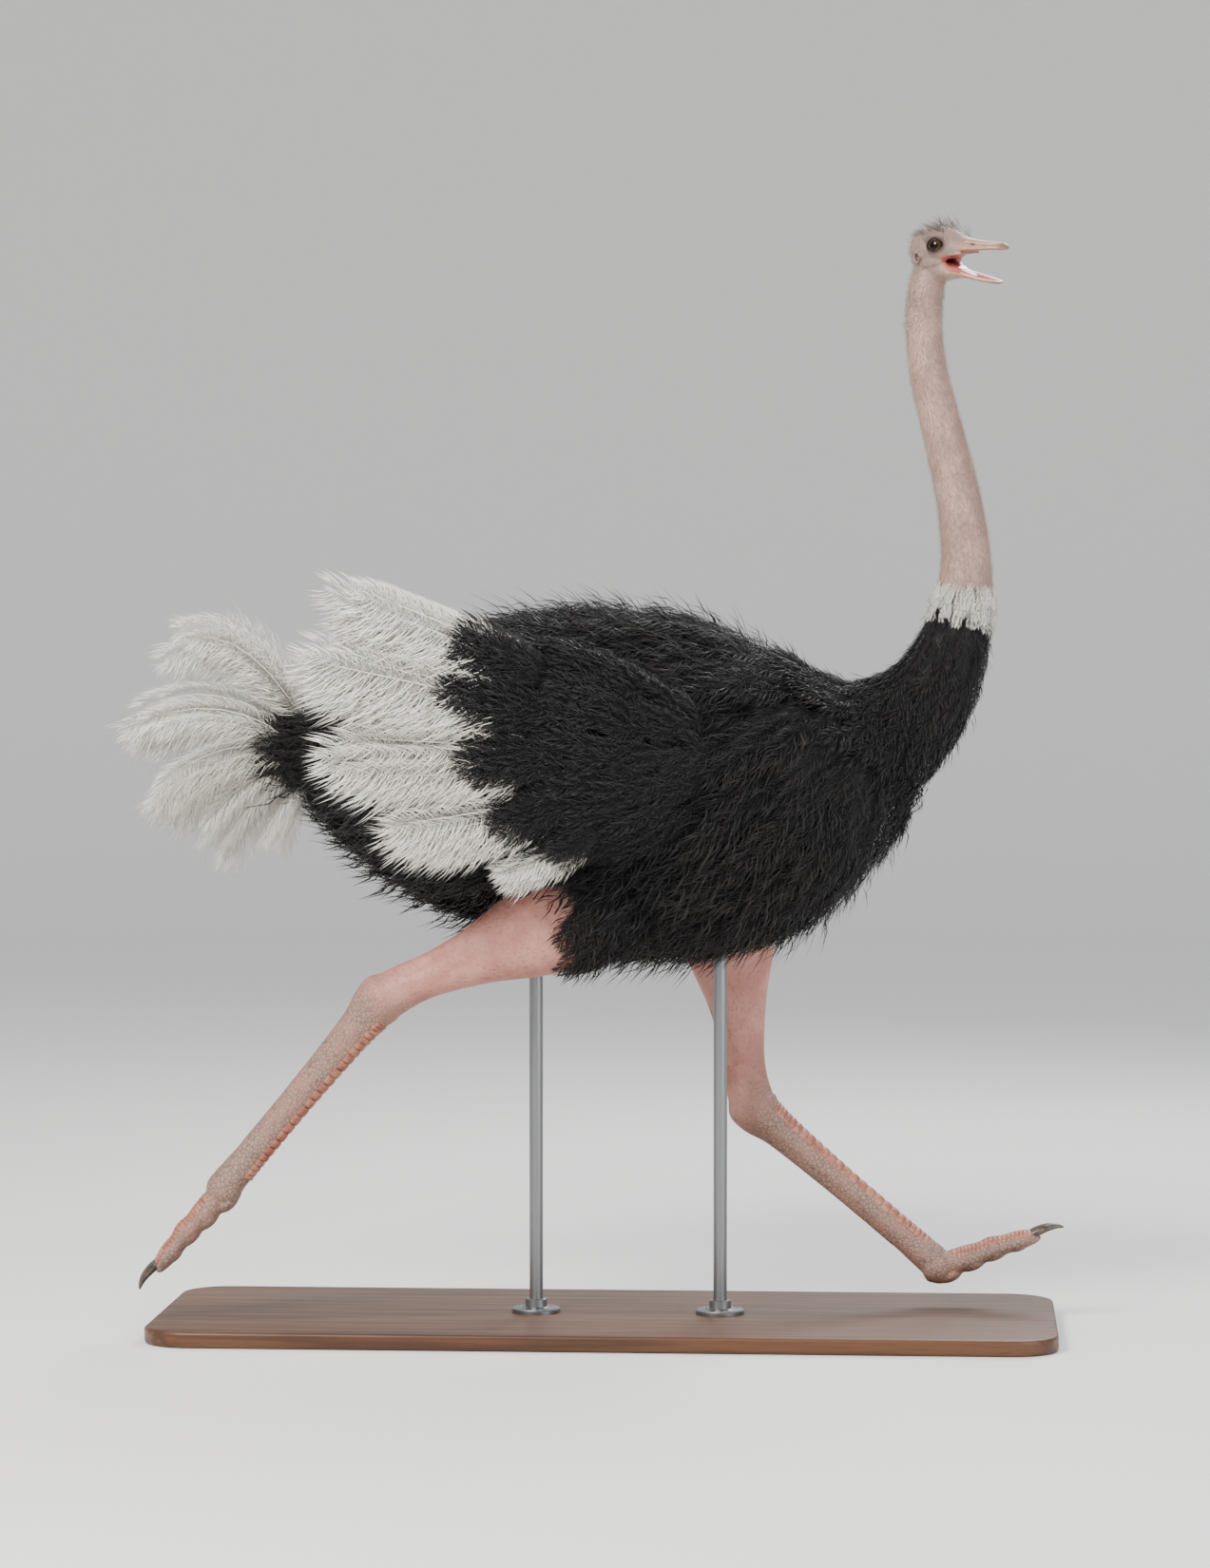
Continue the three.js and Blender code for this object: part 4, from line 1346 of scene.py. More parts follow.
def plant(name, kinds, spines, ups, lengths, patches, top=OVERRUN, sag=0.0):
    """Lays feathers along spines, and returns them as joined meshes."""
    which = RNG.integers(len(kinds), size=len(spines))
    tones = RNG.uniform(0, 1, len(spines))
    total = triangles_in(kinds[0]) * len(spines)
    batches = np.array_split(np.arange(len(spines)), -(-total // MOST_TRIANGLES))
    made = []
    for number, batch in enumerate(batches, 1):
        parts = []
        shift = 0
        for k, (flat, corners, sizes) in enumerate(kinds):
            own = batch[which[batch] == k]
            if len(own) == 0:
                continue
            points = bent_copies(flat, spines[own], ups[own], lengths[own], top, sag).reshape(-1, 3)
            starts = shift + np.arange(len(own))[:, None] * len(flat)
            uvs = patch_maps(flat, patches[own]).reshape(-1, 2)
            tone = np.repeat(tones[own], len(flat))
            along = np.tile(flat[:, 0], len(own))
            faces = np.tile(sizes, len(own))
            parts.append((points, (corners[None] + starts).ravel(), faces, uvs, tone, along))
            shift += len(points)
        made.append(mesh_of(f"{name}_{number}", *(np.concatenate(column) for column in zip(*parts))))
    return made


# %% Roots in rows, and spines that lie on one limb
ROW_GAP = 0.866
SPINE_POINTS = 7


def roots_on(limb, pitch, low, high):
    """Roots a pitch apart over a limb, in staggered rows, a little shuffled: turns and distances."""
    turns, distances = [], []
    round_it = np.linspace(0, 2 * np.pi, 73)
    for number, distance in enumerate(np.arange(low * limb.span, high * limb.span, ROW_GAP * pitch)):
        rim = limb.at(round_it, limb.share_at(distance))
        walked = np.concatenate([[0], np.cumsum(np.linalg.norm(np.diff(rim, axis=0), axis=1))])
        count = max(3, round(walked[-1] / pitch))
        places = np.arange(count) + 0.5 * (number % 2) + RNG.normal(0, 0.24, count)
        turns.append(np.interp(places / count % 1 * walked[-1], walked, round_it))
        distances.append(distance + RNG.normal(0, 0.25, count) * pitch)
    return np.concatenate(turns), np.concatenate(distances)


def lie(limb, turns, distances, lengths, way, depths, wander=0.16):
    """Spines that follow one limb's surface one way along it, rising from a root's depth to a tip's."""
    t = np.linspace(0, OVERRUN, SPINE_POINTS)[None]
    girth = np.maximum(np.interp(limb.share_at(distances), limb.shares, limb.girth), 0.02)
    stray = RNG.normal(0, wander, len(turns))
    slip = stray * lengths / girth * 2 * np.pi
    far = distances[:, None] + way * lengths[:, None] * t * np.cos(stray)[:, None]
    round_it = turns[:, None] + slip[:, None] * t
    share = limb.share_at(far)
    ups = limb.normal(round_it, share)
    rise = 1 - (1 - np.clip(t, 0, 1)) ** 2
    depth = depths[0][:, None] + (depths[1] - depths[0])[:, None] * rise
    spines = limb.at(round_it, share) - ups * depth[..., None]
    off_end = (far < 0) | (far > limb.span)
    for k in range(2, SPINE_POINTS):
        straight = 2 * spines[:, k - 1] - spines[:, k - 2]
        spines[:, k] = np.where(off_end[:, k : k + 1], straight, spines[:, k])
        ups[:, k] = np.where(off_end[:, k : k + 1], ups[:, k - 1], ups[:, k])
    return spines, ups


def unwrapped(limb, turns, distances):
    return np.stack([turns / (2 * np.pi) % 1, np.clip(distances / limb.span, 0, 1)], axis=1)


# %% [markdown]
# ## Draping
# The black feathers flow over everything in their way: from the neck over the shoulders, from the
# flanks over the thighs. So they don't follow one limb. They follow the body as a whole, which is a
# field that says how far any point lies outside the nearest limb, with soft joins. A spine walks
# along its heading in short steps; each step is pushed out of the body, or eased back towards it,
# until it lies at the depth that it should have there.

# %% The body as a field
COATED = [(TRUNK, lambda share: COAT), (NECK, neck_depth)]
COATED += [(thigh, thigh_depth) for thigh in THIGHS.values()]
COATED += [(shin, shin_depth) for shin in SHINS.values()]
JOIN = 0.012
FIELD_STEPS = 40


def outside(limb, points, depth=lambda share: 0.0):
    """About how far points lie outside a limb, or its skin at a depth. Negative inside it."""
    shares = np.linspace(0, 1, FIELD_STEPS + 1)
    line = smooth(limb.rows, shares)[:, :3]
    near = np.linalg.norm(points[..., None, :] - line, axis=-1).argmin(axis=-1)
    along = limb.axes(shares)[0]
    pace = np.linalg.norm(np.gradient(line, axis=0), axis=1)
    place = near + np.sum((points - line[near]) * along[near], axis=-1) / pace[near]
    share = np.clip(place / FIELD_STEPS, 0, 1)
    row = smooth(limb.rows, share)
    along, side, up = limb.axes(share)
    away = points - row[..., :3]
    over = np.sum(away * up, axis=-1)
    cap = np.maximum(limb.cap(share), 0.02)
    wide = (row[..., 3] - depth(share)) * cap
    tall = (np.where(over > 0, row[..., 4], row[..., 5]) - depth(share)) * cap
    past = np.sum(away * along, axis=-1)
    ratio = np.sqrt((np.sum(away * side, axis=-1) / wide) ** 2 + (over / tall) ** 2 + (past / tall) ** 2)
    return np.linalg.norm(away, axis=-1) * (1 - 1 / np.maximum(ratio, 1e-3))


def body_gap(points):
    """How far points lie outside the coated body, with its joins rounded."""
    gaps = np.stack([outside(limb, points) for limb, _ in COATED])
    return -JOIN * np.log(np.exp(-np.maximum(gaps, -0.4) / JOIN).sum(axis=0))


def skin_gap(points):
    """How far points lie outside the skin."""
    return np.min([outside(limb, points, depth) for limb, depth in COATED], axis=0)


def way_out(points):
    """The straightest way out of the body from each point."""
    reach = np.eye(3) * 0.006
    return unit(np.stack([body_gap(points + r) - body_gap(points - r) for r in reach], axis=-1))


# %% Walking over it
SETTLE = 0.35
OVER_SKIN = 0.008


def drape(roots, headings, lengths, depths):
    """Spines that walk over the body along headings, rising from a root's depth to a tip's."""
    points, pace = roots, (lengths * OVERRUN / (SPINE_POINTS - 1))[:, None]
    spines, ups, last = [], [], None
    for t in np.linspace(0, OVERRUN, SPINE_POINTS):
        out = way_out(points)
        depth = depths[0] + (depths[1] - depths[0]) * (1 - (1 - min(t, 1)) ** 2)
        push = -(body_gap(points) + depth)
        eased = np.maximum(push, -SETTLE * pace[:, 0]) if t > 0 else push
        points = points + out * eased[:, None]
        clear = np.clip(OVER_SKIN * min(t, 0.5) - skin_gap(points), 0, 0.03)
        points = points + out * clear[:, None] * (t > 0)
        spines.append(points)
        ups.append(out)
        flat = unit(headings - out * np.sum(headings * out, axis=1, keepdims=True))
        last = flat if last is None else unit(0.5 * last + 0.5 * flat)
        points = points + last * pace
    return np.stack(spines, axis=1), np.stack(ups, axis=1)


# %% [markdown]
# ## The black coat
# The trunk's feathers lie back towards the tail and sag down the flanks, each about a hand long and
# rooted two fingers from the next. The breast's turn downwards. Roots that another limb covers are
# left out, and so are those that the wing's arm lies on. The thighs are inside the trunk's coat, so
# only the drumsticks' tops need feathers of their own.

# %% A coat over the whole body
BARE_GIRTH = 0.088
BARE_FROM = 0.42


def near_bare_leg(points):
    """Which points lie in or on the bare part of a drumstick."""
    near = np.zeros(points.shape[:-1], bool)
    for at in LEG_JOINTS.values():
        bone = at["hock"] - at["knee"]
        share = np.clip((points - at["knee"]) @ bone / (bone @ bone), BARE_FROM, 1)
        near |= np.linalg.norm(points - at["knee"] - share[..., None] * bone, axis=-1) < BARE_GIRTH
    return near


def under_wing(points):
    """Which points the wing's arm lies on."""
    beside = np.abs(points[:, 1]) > 0.15
    return beside & (np.hypot(points[:, 0] - 0.03, points[:, 2] - 1.09) < 0.10)


def body_coat(name, limb, pitch, span, heading, length, root_depth, tips, kinds):
    """A coat on part of a limb that drapes over the whole body.

    heading, length and root_depth are functions of where a root lies, and tips are the least and
    the most depth of a feather's tip.
    """
    turns, distances = roots_on(limb, pitch, *span)
    share = limb.share_at(distances)
    points = limb.at(turns, share)
    keep = (body_gap(points) > -0.022) & ~under_wing(points) & ~near_bare_leg(points)
    turns, distances, points, share = turns[keep], distances[keep], points[keep], share[keep]
    lengths = length(share) * RNG.uniform(0.80, 1.16, len(share))
    headings = unit(unit(heading(points, share)) + RNG.normal(0, 0.13, points.shape))
    spines, ups = drape(points, headings, lengths, (root_depth(share), RNG.uniform(*tips, len(share))))
    clear = ~near_bare_leg(spines[:, -3:]).any(axis=1)
    patches = unwrapped(limb, turns, distances)
    return plant(name, kinds, spines[clear], ups[clear], lengths[clear], patches[clear], sag=0.05)


# %% Which way the coat runs, and the three coats


def trunk_heading(points, share):
    """Backwards, lower on the flanks, and downwards on the breast."""
    front = np.clip((points[:, 0] - 0.30) / 0.25, 0, 1)[:, None]
    flank = np.clip(np.abs(points[:, 1]) / 0.25, 0, 1)
    back = np.stack([-np.ones_like(flank), 0 * flank, -0.06 - 0.44 * flank], axis=1)
    return back * (1 - front) + np.array([-0.5, 0, -0.85]) * front


def neck_heading(points, share):
    return -NECK.axes(share)[0]


def leg_heading(points, share):
    return np.tile((-0.62, 0, -0.78), (len(points), 1))


coat_trunk = body_coat(
    "coat_trunk",
    TRUNK,
    pitch=0.0345,
    span=(0.015, 0.985),
    heading=trunk_heading,
    length=lambda share: 0.185 - 0.065 * np.clip((share - 0.70) / 0.3, 0, 1),
    root_depth=lambda share: np.full_like(share, COAT - 0.004),
    tips=(-0.002, 0.022),
    kinds=LONG_KINDS,
)
coat_neck = body_coat(
    "coat_neck",
    NECK,
    pitch=0.0205,
    span=(0.06, 0.432),
    heading=neck_heading,
    length=lambda share: np.interp(share, (0.05, 0.25, 0.44), (0.130, 0.095, 0.062)),
    root_depth=lambda share: neck_depth(share) - 0.002,
    tips=(-0.004, 0.001),
    kinds=SHORT_KINDS,
)
coat_legs = []
for side in SIDES:
    coat_legs += body_coat(
        f"coat_drumstick_{side}",
        SHINS[side],
        pitch=0.022,
        span=(0.0, 0.15),
        heading=leg_heading,
        length=lambda share: np.full_like(share, 0.110),
        root_depth=lambda share: shin_depth(share) - 0.002,
        tips=(-0.004, 0.006),
        kinds=SHORT_KINDS,
    )
print("black coat:", len(coat_trunk), "+", len(coat_neck), "+", len(coat_legs), "pieces")

# %% [markdown]
# ## Wings
# The wing's arm wears short black coverts that fan back from the shoulder and lengthen towards the
# rear. From under them come the white plumes, in the five lobes of the solid model, each a sheaf of
# long loose feathers. Greater coverts end in a scallop over the base of each lobe.

# %% Coverts


def wing_plate(side):
    """The folded arm's outer form as one flat limb, from its rear edge to its front."""
    rows = [
        (-0.140, 0.352, 1.120, 0.016, 0.140, 0.160),
        (-0.100, 0.346, 1.118, 0.032, 0.162, 0.186),
        (-0.030, 0.334, 1.100, 0.040, 0.158, 0.176),
        (0.046, 0.304, 1.088, 0.046, 0.154, 0.158),
        (0.120, 0.292, 1.088, 0.040, 0.134, 0.134),
        (0.176, 0.284, 1.090, 0.027, 0.092, 0.092),
        (0.206, 0.280, 1.090, 0.010, 0.034, 0.034),
    ]
    return Limb([(x, y * SIDES[side], z, *half) for x, y, z, *half in rows], ends=(0, 0.06))


PLATES = {side: wing_plate(side) for side in SIDES}
# Over this height the wing's inner side stands clear of the back.
CLEAR_OF_BACK = 1.14


def coverts(side):
    """Coverts on the outside of the arm, and on its inside where it stands clear of the back."""
    limb = PLATES[side]
    turns, distances = roots_on(limb, 0.0195, 0.02, 0.99)
    outward = 0 if side == "left" else np.pi
    height = limb.at(turns, limb.share_at(distances))[:, 2]
    keep = (turn_gap(turns, outward) < np.radians(106)) | (height > CLEAR_OF_BACK)
    turns, distances = turns[keep], distances[keep]
    rear = np.clip(1 - distances / limb.span, 0, 1)
    lengths = (0.070 + 0.070 * rear**1.5) * RNG.uniform(0.85, 1.12, len(turns))
    depths = (np.full(len(turns), 0.010), RNG.uniform(-0.006, 0.004, len(turns)))
    spines, ups = lie(limb, turns, distances, lengths, -1, depths)
    fan = 0.30 * np.sin(turns)[:, None] * lengths[:, None]
    spines[..., 2] += fan * np.linspace(0, OVERRUN, SPINE_POINTS)[None]
    return plant(f"coverts_{side}", SHORT_KINDS, spines, ups, lengths, unwrapped(limb, turns, distances))


wing_coverts = {side: coverts(side) for side in SIDES}

# %% The lobes, each with its root, bend and tip, and its half thickness and half width
LEFT_DROOP = 0.045
WING_LOBES = [
    ((-0.090, 0.356, 1.246), (-0.285, 0.400, 1.330), (-0.462, 0.425, 1.390), 0.024, 0.056),
    ((-0.092, 0.352, 1.176), (-0.300, 0.398, 1.226), (-0.520, 0.425, 1.276), 0.026, 0.068),
    ((-0.078, 0.346, 1.096), (-0.265, 0.388, 1.092), (-0.478, 0.412, 1.096), 0.027, 0.074),
    ((-0.054, 0.338, 1.018), (-0.205, 0.372, 0.965), (-0.378, 0.394, 0.950), 0.027, 0.062),
    ((0.000, 0.328, 0.962), (-0.092, 0.350, 0.902), (-0.195, 0.366, 0.880), 0.025, 0.050),
]
TAIL_LOBES = [
    ((-0.566, 0, 1.140), (-0.690, 0, 1.368), (-0.846, 0, 1.290), 0.050, 0.096),
    ((-0.592, 0, 1.116), (-0.745, 0, 1.232), (-0.908, 0, 1.128), 0.053, 0.108),
    ((-0.596, 0, 1.090), (-0.735, 0, 1.112), (-0.868, 0, 0.984), 0.053, 0.104),
    ((-0.588, 0, 1.064), (-0.684, 0, 1.034), (-0.764, 0, 0.905), 0.048, 0.092),
    ((-0.566, 0, 1.042), (-0.620, 0, 0.988), (-0.655, 0, 0.902), 0.042, 0.076),
]
# Steps by the golden section fill a lobe's depth evenly, however many plumes it has.
GOLDEN = 0.618034
LOBE_OVERRUN = 1.15


def arc_points(root, bend, tip, t):
    """A quadratic curve, going straight on past its end."""
    inside = np.clip(t, 0, 1)[..., None]
    curve = (1 - inside) ** 2 * root + 2 * inside * (1 - inside) * bend + inside**2 * tip
    return curve + np.clip(t - 1, 0, None)[..., None] * 2 * (tip - bend)


def sheaf(lobe, face, count, roll, reach=(0.86, 1.02), margin=0.028, layer=None):
    """Spines fanned over a lobe's width and depth, with the way their upper faces look.

    roll is how far the faces turn away from the lobe's own face, in degrees. reach is the least and
    the most of the lobe's length that a plume covers, and margin keeps it off the lobe's edges.
    layer puts all of the spines on one face of the lobe: 1 for the outer face, -1 for the inner.
    """
    root, bend, tip = (np.array(point, float) for point in lobe[:3])
    thick, half = lobe[3:]
    flat = unit(np.cross(face, tip - root))
    over = unit(np.cross(tip - root, flat))
    t = np.linspace(0, LOBE_OVERRUN, 12)
    spines, ups = [], []
    for i in range(count):
        across = 2 * (i + 0.5) / count - 1 + RNG.normal(0, 0.08)
        deep = (2 * ((i + 0.5) * GOLDEN % 1) - 1) * (thick - 0.010) if layer is None else layer * thick
        shift = flat * across * (half - margin) + over * deep
        ends = RNG.uniform(*reach) - 0.5 * (reach[1] - reach[0] + 0.06) * across**2
        start = root + 0.35 * flat * across * half + over * deep * (0.3 if layer is None else 1)
        spines.append(arc_points(start, bend + shift, tip + shift + RNG.normal(0, 0.008, 3), t * ends))
        turned = np.radians(RNG.uniform(-roll, roll))
        ups.append(np.repeat((over * np.cos(turned) + flat * np.sin(turned))[None], len(t), axis=0))
    return np.array(spines), np.array(ups)


def lobed(name, kinds, sheaves, patch_of, sag=0.0):
    """Sheaves as joined meshes."""
    spines = np.concatenate([s for s, _ in sheaves])
    ups = np.concatenate([u for _, u in sheaves])
    lengths = np.linalg.norm(np.diff(spines, axis=1), axis=2).sum(axis=1) / LOBE_OVERRUN
    return plant(name, kinds, spines, ups, lengths, patch_of(spines[:, 0]), LOBE_OVERRUN, sag)


GIVE = 0.35


def pressed(pieces, width):
    """Presses back most of what stands out sideways past a half width."""
    for piece in pieces:
        points = np.empty(len(piece.data.vertices) * 3, np.float32)
        piece.data.vertices.foreach_get("co", points)
        beyond = np.clip(np.abs(points[1::3]) - width, 0, None)
        points[1::3] -= np.sign(points[1::3]) * beyond * (1 - GIVE)
        piece.data.vertices.foreach_set("co", points)
        piece.data.update()
    return pieces


# %% Plumes and greater coverts
WING_PLUMES = (8, 9, 9, 8, 6)
TAIL_PLUMES = (11, 12, 12, 10, 9)


def held_lobes(side):
    """The wing's lobes on one side. The left wing is held a little lower."""
    drop = LEFT_DROOP if side == "left" else 0.0
    for root, bend, tip, thick, half in WING_LOBES:
        held = [mirrored(p, side) - (0, 0, drop * share) for p, share in ((root, 0), (bend, 0.5), (tip, 1))]
        yield *held, thick, half


def wing_patches(roots):
    return np.stack([(roots[:, 2] - 0.88) / 0.44, 0.5 + 3 * (roots[:, 0] + 0.06)], axis=1)


def tail_patches(roots):
    return np.stack([0.5 + 3 * roots[:, 1], (roots[:, 2] - 0.96) / 0.26], axis=1)


def wing_plumes(side):
    face = (0, SIDES[side], 0.1)
    sheaves = [sheaf(lobe, face, count, 11) for lobe, count in zip(held_lobes(side), WING_PLUMES)]
    return pressed(lobed(f"plumes_{side}", PLUME_KINDS, sheaves, wing_patches, sag=0.085), 0.436)


def greater_coverts(side):
    """Two rows of black feathers on the outside of each lobe's base, and one row inside."""
    face = (0, SIDES[side], 0.1)
    sheaves = []
    for lobe in held_lobes(side):
        for layer, far in ((0.8, 0.44), (1.1, 0.30), (-0.9, 0.32)):
            sheaves.append(sheaf(lobe, face, 11, 10, (far * 0.86, far), 0.006, layer))
    return pressed(lobed(f"greater_coverts_{side}", LONG_KINDS, sheaves, wing_patches), 0.425)


def tail_plumes():
    sheaves = [sheaf(lobe, (0, 0, 1), count, 80) for lobe, count in zip(TAIL_LOBES, TAIL_PLUMES)]
    return lobed("plumes_tail", PLUME_KINDS, sheaves, tail_patches, sag=0.075)


plumes_wing = {side: wing_plumes(side) for side in SIDES}
coverts_greater = {side: greater_coverts(side) for side in SIDES}
plumes_tail = tail_plumes()
print("long plumes:", 2 * sum(WING_PLUMES), "on the wings and", sum(TAIL_PLUMES), "on the tail")

# %% The tail's black sleeve
SLEEVE = Limb(
    [
        (-0.480, 0, 1.092, 0.088, 0.088),
        (-0.550, 0, 1.096, 0.074, 0.072),
        (-0.610, 0, 1.098, 0.064, 0.066),
        (-0.680, 0, 1.100, 0.062, 0.072),
    ]
)


def lying_coat(name, limb, pitch, span, length, way, depths, kinds, wander=0.16):
    """A coat that follows one limb. depths are the roots' and the tips' least and most."""
    turns, distances = roots_on(limb, pitch, *span)
    lengths = length * RNG.uniform(0.8, 1.15, len(turns))
    roots, tips = (RNG.uniform(*pair, len(turns)) for pair in depths)
    spines, ups = lie(limb, turns, distances, lengths, way, (roots, tips), wander=wander)
    return plant(name, kinds, spines, ups, lengths, unwrapped(limb, turns, distances))


coat_tail = lying_coat(
    "coat_tail", SLEEVE, 0.021, (0.0, 0.48), 0.095, 1, ((0.010, 0.020), (-0.006, 0.006)), LONG_KINDS
)

# %% [markdown]
# ## Collar, down and bristles
# A ring of short white feathers ends the black coat. Above it the neck is nearly bare: a thin down
# of pale hairs. The crown carries stiff bristles, tallest at the front, and the ears a few hairs.

# %% The collar and the neck's down
collar_depths = ((0.001, 0.004), (-0.010, -0.003))
coat_collar = lying_coat("collar", NECK, 0.0105, (0.408, 0.452), 0.040, -1, collar_depths, SHORT_KINDS, 0.22)
HAIRS = hair_kind(2, 0.032)
down_depths = ((NECK_DOWN + 0.0004, NECK_DOWN + 0.0008), (-0.003, 0.002))
down_neck = lying_coat("down_neck", NECK, 0.0044, (0.44, 0.968), 0.012, -1, down_depths, HAIRS, 0.5)

# %% Hairs on the head
HAIR_POINTS = 5


def read_rows(items, name, width):
    """One property of many mesh items, as rows of numbers."""
    values = np.empty(len(items) * width)
    items.foreach_get(name, values)
    return values.reshape(-1, width)


def skin_points(count, wanted):
    """Random points on the skin where wanted says so, with the way the skin faces, in head terms."""
    faces = skin.data.polygons
    centres = moved_by(HEAD.inverted(), read_rows(faces, "center", 3))
    normals = turned_by(HEAD.inverted(), read_rows(faces, "normal", 3))
    areas = read_rows(faces, "area", 1)[:, 0]
    weights = areas * wanted(centres, normals)
    chosen = RNG.choice(len(areas), size=count, p=weights / weights.sum())
    return centres[chosen] + RNG.normal(0, 0.0006, (count, 3)), normals[chosen]


def hairs(name, kinds, roots, faces, lean, lengths):
    """Hairs from points in head terms that start along lean and settle onto the skin."""
    t = np.linspace(0, OVERRUN, HAIR_POINTS)[None, :, None]
    along = unit(lean - faces * np.sum(lean * faces, axis=1, keepdims=True))
    start = unit(along * 0.6 + faces * 0.8)
    reach = lengths[:, None, None]
    spines = roots[:, None] + start[:, None] * reach * t * 0.7 + along[:, None] * reach * 0.35 * t**2
    ups = np.repeat(turned_by(HEAD, faces)[:, None], HAIR_POINTS, axis=1)
    turn = np.arctan2(roots[:, 1], roots[:, 2]) / (2 * np.pi) + 0.5
    patches = np.stack([turn, np.clip((roots[:, 0] + 0.07) / 0.14, 0, 1)], axis=1)
    return plant(name, kinds, moved_by(HEAD, spines), ups, lengths, patches)


# %% Where hairs grow
CROWN_BRISTLES = 260
EAR_HAIRS = 90
FACE_HAIRS = 7400


def in_hollow(points, size):
    """Which points, in head terms, lie in the hollow of the throat."""
    centre, half = THROAT_HOLLOW
    back = (Matrix.Translation(centre) @ tilt("Y", HOLLOW_TILT)).inverted()
    return np.linalg.norm(moved_by(back, points) / half, axis=1) < size


def on_face(points, normals):
    """Off the eyes, the ears and the mouth, and thinning out down the neck."""
    clear = ~in_hollow(points, 1.10)
    for side in SIDES:
        clear &= np.linalg.norm(points - mirrored(EYE, side), axis=1) > 0.0262
        clear &= np.linalg.norm(points - mirrored((EAR_X, 0.038, EAR_Z), side), axis=1) > 0.009
    mouth = (points[:, 0] > 0.0165) & (points[:, 2] < -0.0115)
    near = (points[:, 0] > -0.085) & (points[:, 0] < 0.056) & (np.abs(points[:, 1]) < 0.060)
    thinning = np.clip((points[:, 2] + 0.150) / 0.085, 0, 1)
    return (clear & near & ~mouth) * thinning


def on_crown(points, normals):
    top = (normals[:, 2] > 0.62) & (points[:, 2] > 0.010) & (np.abs(points[:, 1]) < 0.03)
    return top & (points[:, 0] > -0.052) & (points[:, 0] < 0.030)


def by_ear(points, normals):
    """Just in front of the ear, so that the hairs lie back over it."""
    fronts = [mirrored((-0.024, 0.040, EAR_Z), side) for side in SIDES]
    return np.minimum(*(np.linalg.norm(points - front, axis=1) for front in fronts)) < 0.0085


# %% Down on the face, longer towards the neck
face_roots, face_normals = skin_points(FACE_HAIRS, on_face)
face_lengths = 0.0062 + 0.003 * np.clip(-face_roots[:, 0] / 0.05, 0, 1)
face_lengths += 0.003 * np.clip((-0.05 - face_roots[:, 2]) / 0.07, 0, 1)
face_lengths *= RNG.uniform(0.6, 1.3, FACE_HAIRS)
face_lean = np.array([-1.0, 0, -0.25]) + RNG.normal(0, 0.25, (FACE_HAIRS, 3))
face_lean[:, 2] -= 2.0 * np.clip(-0.050 - face_roots[:, 0], 0, 0.02) / 0.02
down_face = hairs("down_face", HAIRS, face_roots, face_normals, face_lean, face_lengths)

# %% Bristles on the crown, and hairs over the ears
crown_roots, crown_normals = skin_points(CROWN_BRISTLES, on_crown)
crown_lengths = 0.026 + 0.010 * np.clip(crown_roots[:, 0] / 0.03, -1, 1)
crown_lengths *= RNG.uniform(0.6, 1.35, CROWN_BRISTLES)
crown_lean = np.array([-1.0, 0, 0.4]) + RNG.normal(0, 0.45, (CROWN_BRISTLES, 3))
stiff = hair_kind(4, 0.020)
bristles = hairs("bristles_crown", stiff, crown_roots, crown_normals, crown_lean, crown_lengths)
ear_roots, ear_normals = skin_points(EAR_HAIRS, by_ear)
ear_lean = np.array([-1.0, 0, -0.2]) + RNG.normal(0, 0.3, (EAR_HAIRS, 3))
ear_lengths = RNG.uniform(0.007, 0.014, EAR_HAIRS)
bristles += hairs("bristles_ear", hair_kind(3, 0.03), ear_roots, ear_normals, ear_lean, ear_lengths)
print("hairs on the head:", FACE_HAIRS + CROWN_BRISTLES + EAR_HAIRS)

# %% [markdown]
# ## Where the skin changes
# The skin's colours follow its places: scaly on the tarsus and the toes, grey on the face, nearly
# black along the lids, and wet pink inside the mouth. Under the coat, below the collar and on the
# wings' arms it is painted near-black, as painted shade deep in the coat, and the flesh goes darker
# into the throat's hollow as painted shade. Each place is a number between 0 and 1, worked out for
# every point of the skin and carried by it.

# %% Numbers on the skin


def ramp(value, low, high):
    """0 below low, 1 above high, and smooth between them, for an array."""
    share = np.clip((value - low) / (high - low), 0, 1)
    return share * share * (3 - 2 * share)


def mouth_share(local):
    """The lining of the wedge that the gape opens, without the hollow behind it."""
    roof = np.interp(local[:, 0], *zip(*GAPE_ROOF))
    floor = np.interp(local[:, 0], *zip(*GAPE_FLOOR))
    sunk = np.interp(np.abs(local[:, 1]), (0.021, 0.025, 0.031), (0.011, 0.006, 0.0015))
    wedge = ramp(roof - local[:, 2], -0.0012, -0.0002)
    wedge = wedge * ramp(local[:, 2] - floor + sunk, -0.0008, 0.0008)
    return wedge * (local[:, 0] > 0.0184)


def lid_share(local, side):
    """The bare rim of both lids, a little wider than the slit."""
    looked = moved_by(eye_frame(side).inverted(), local)
    rim = np.hypot(looked[:, 0] / SLIT_HALF, (looked[:, 1] - SLIT_RISE) / 0.0128)
    return (looked[:, 2] > 0.004) * (1 - ramp(rim, 1.04, 1.42))


def scale_share(points, side):
    """Scales begin over the hock and go on down to the toes."""
    at = LEG_JOINTS[side]
    tarsus = at["foot"] - at["hock"]
    return ramp((points - at["hock"]) @ tarsus / (tarsus @ tarsus), -0.16, 0.10)


def coat_shade_share(points):
    """Painted shade, near-black, on the skin under the coat, below the collar and on the wings' arms."""
    shade_in_coat = ramp(-body_gap(points), 0.0045, 0.0110)
    below = ramp(smooth(NECK.rows, 0.425)[2] - points[:, 2], 0.0, 0.012) * (points[:, 2] > 1.1)
    dark = np.maximum(shade_in_coat, below)
    for name, side in SIDES.items():
        arm = (outside(PLATES[name], points) < 0.03) & (side * points[:, 1] > 0.17)
        dark = np.maximum(dark, arm)
    return dark


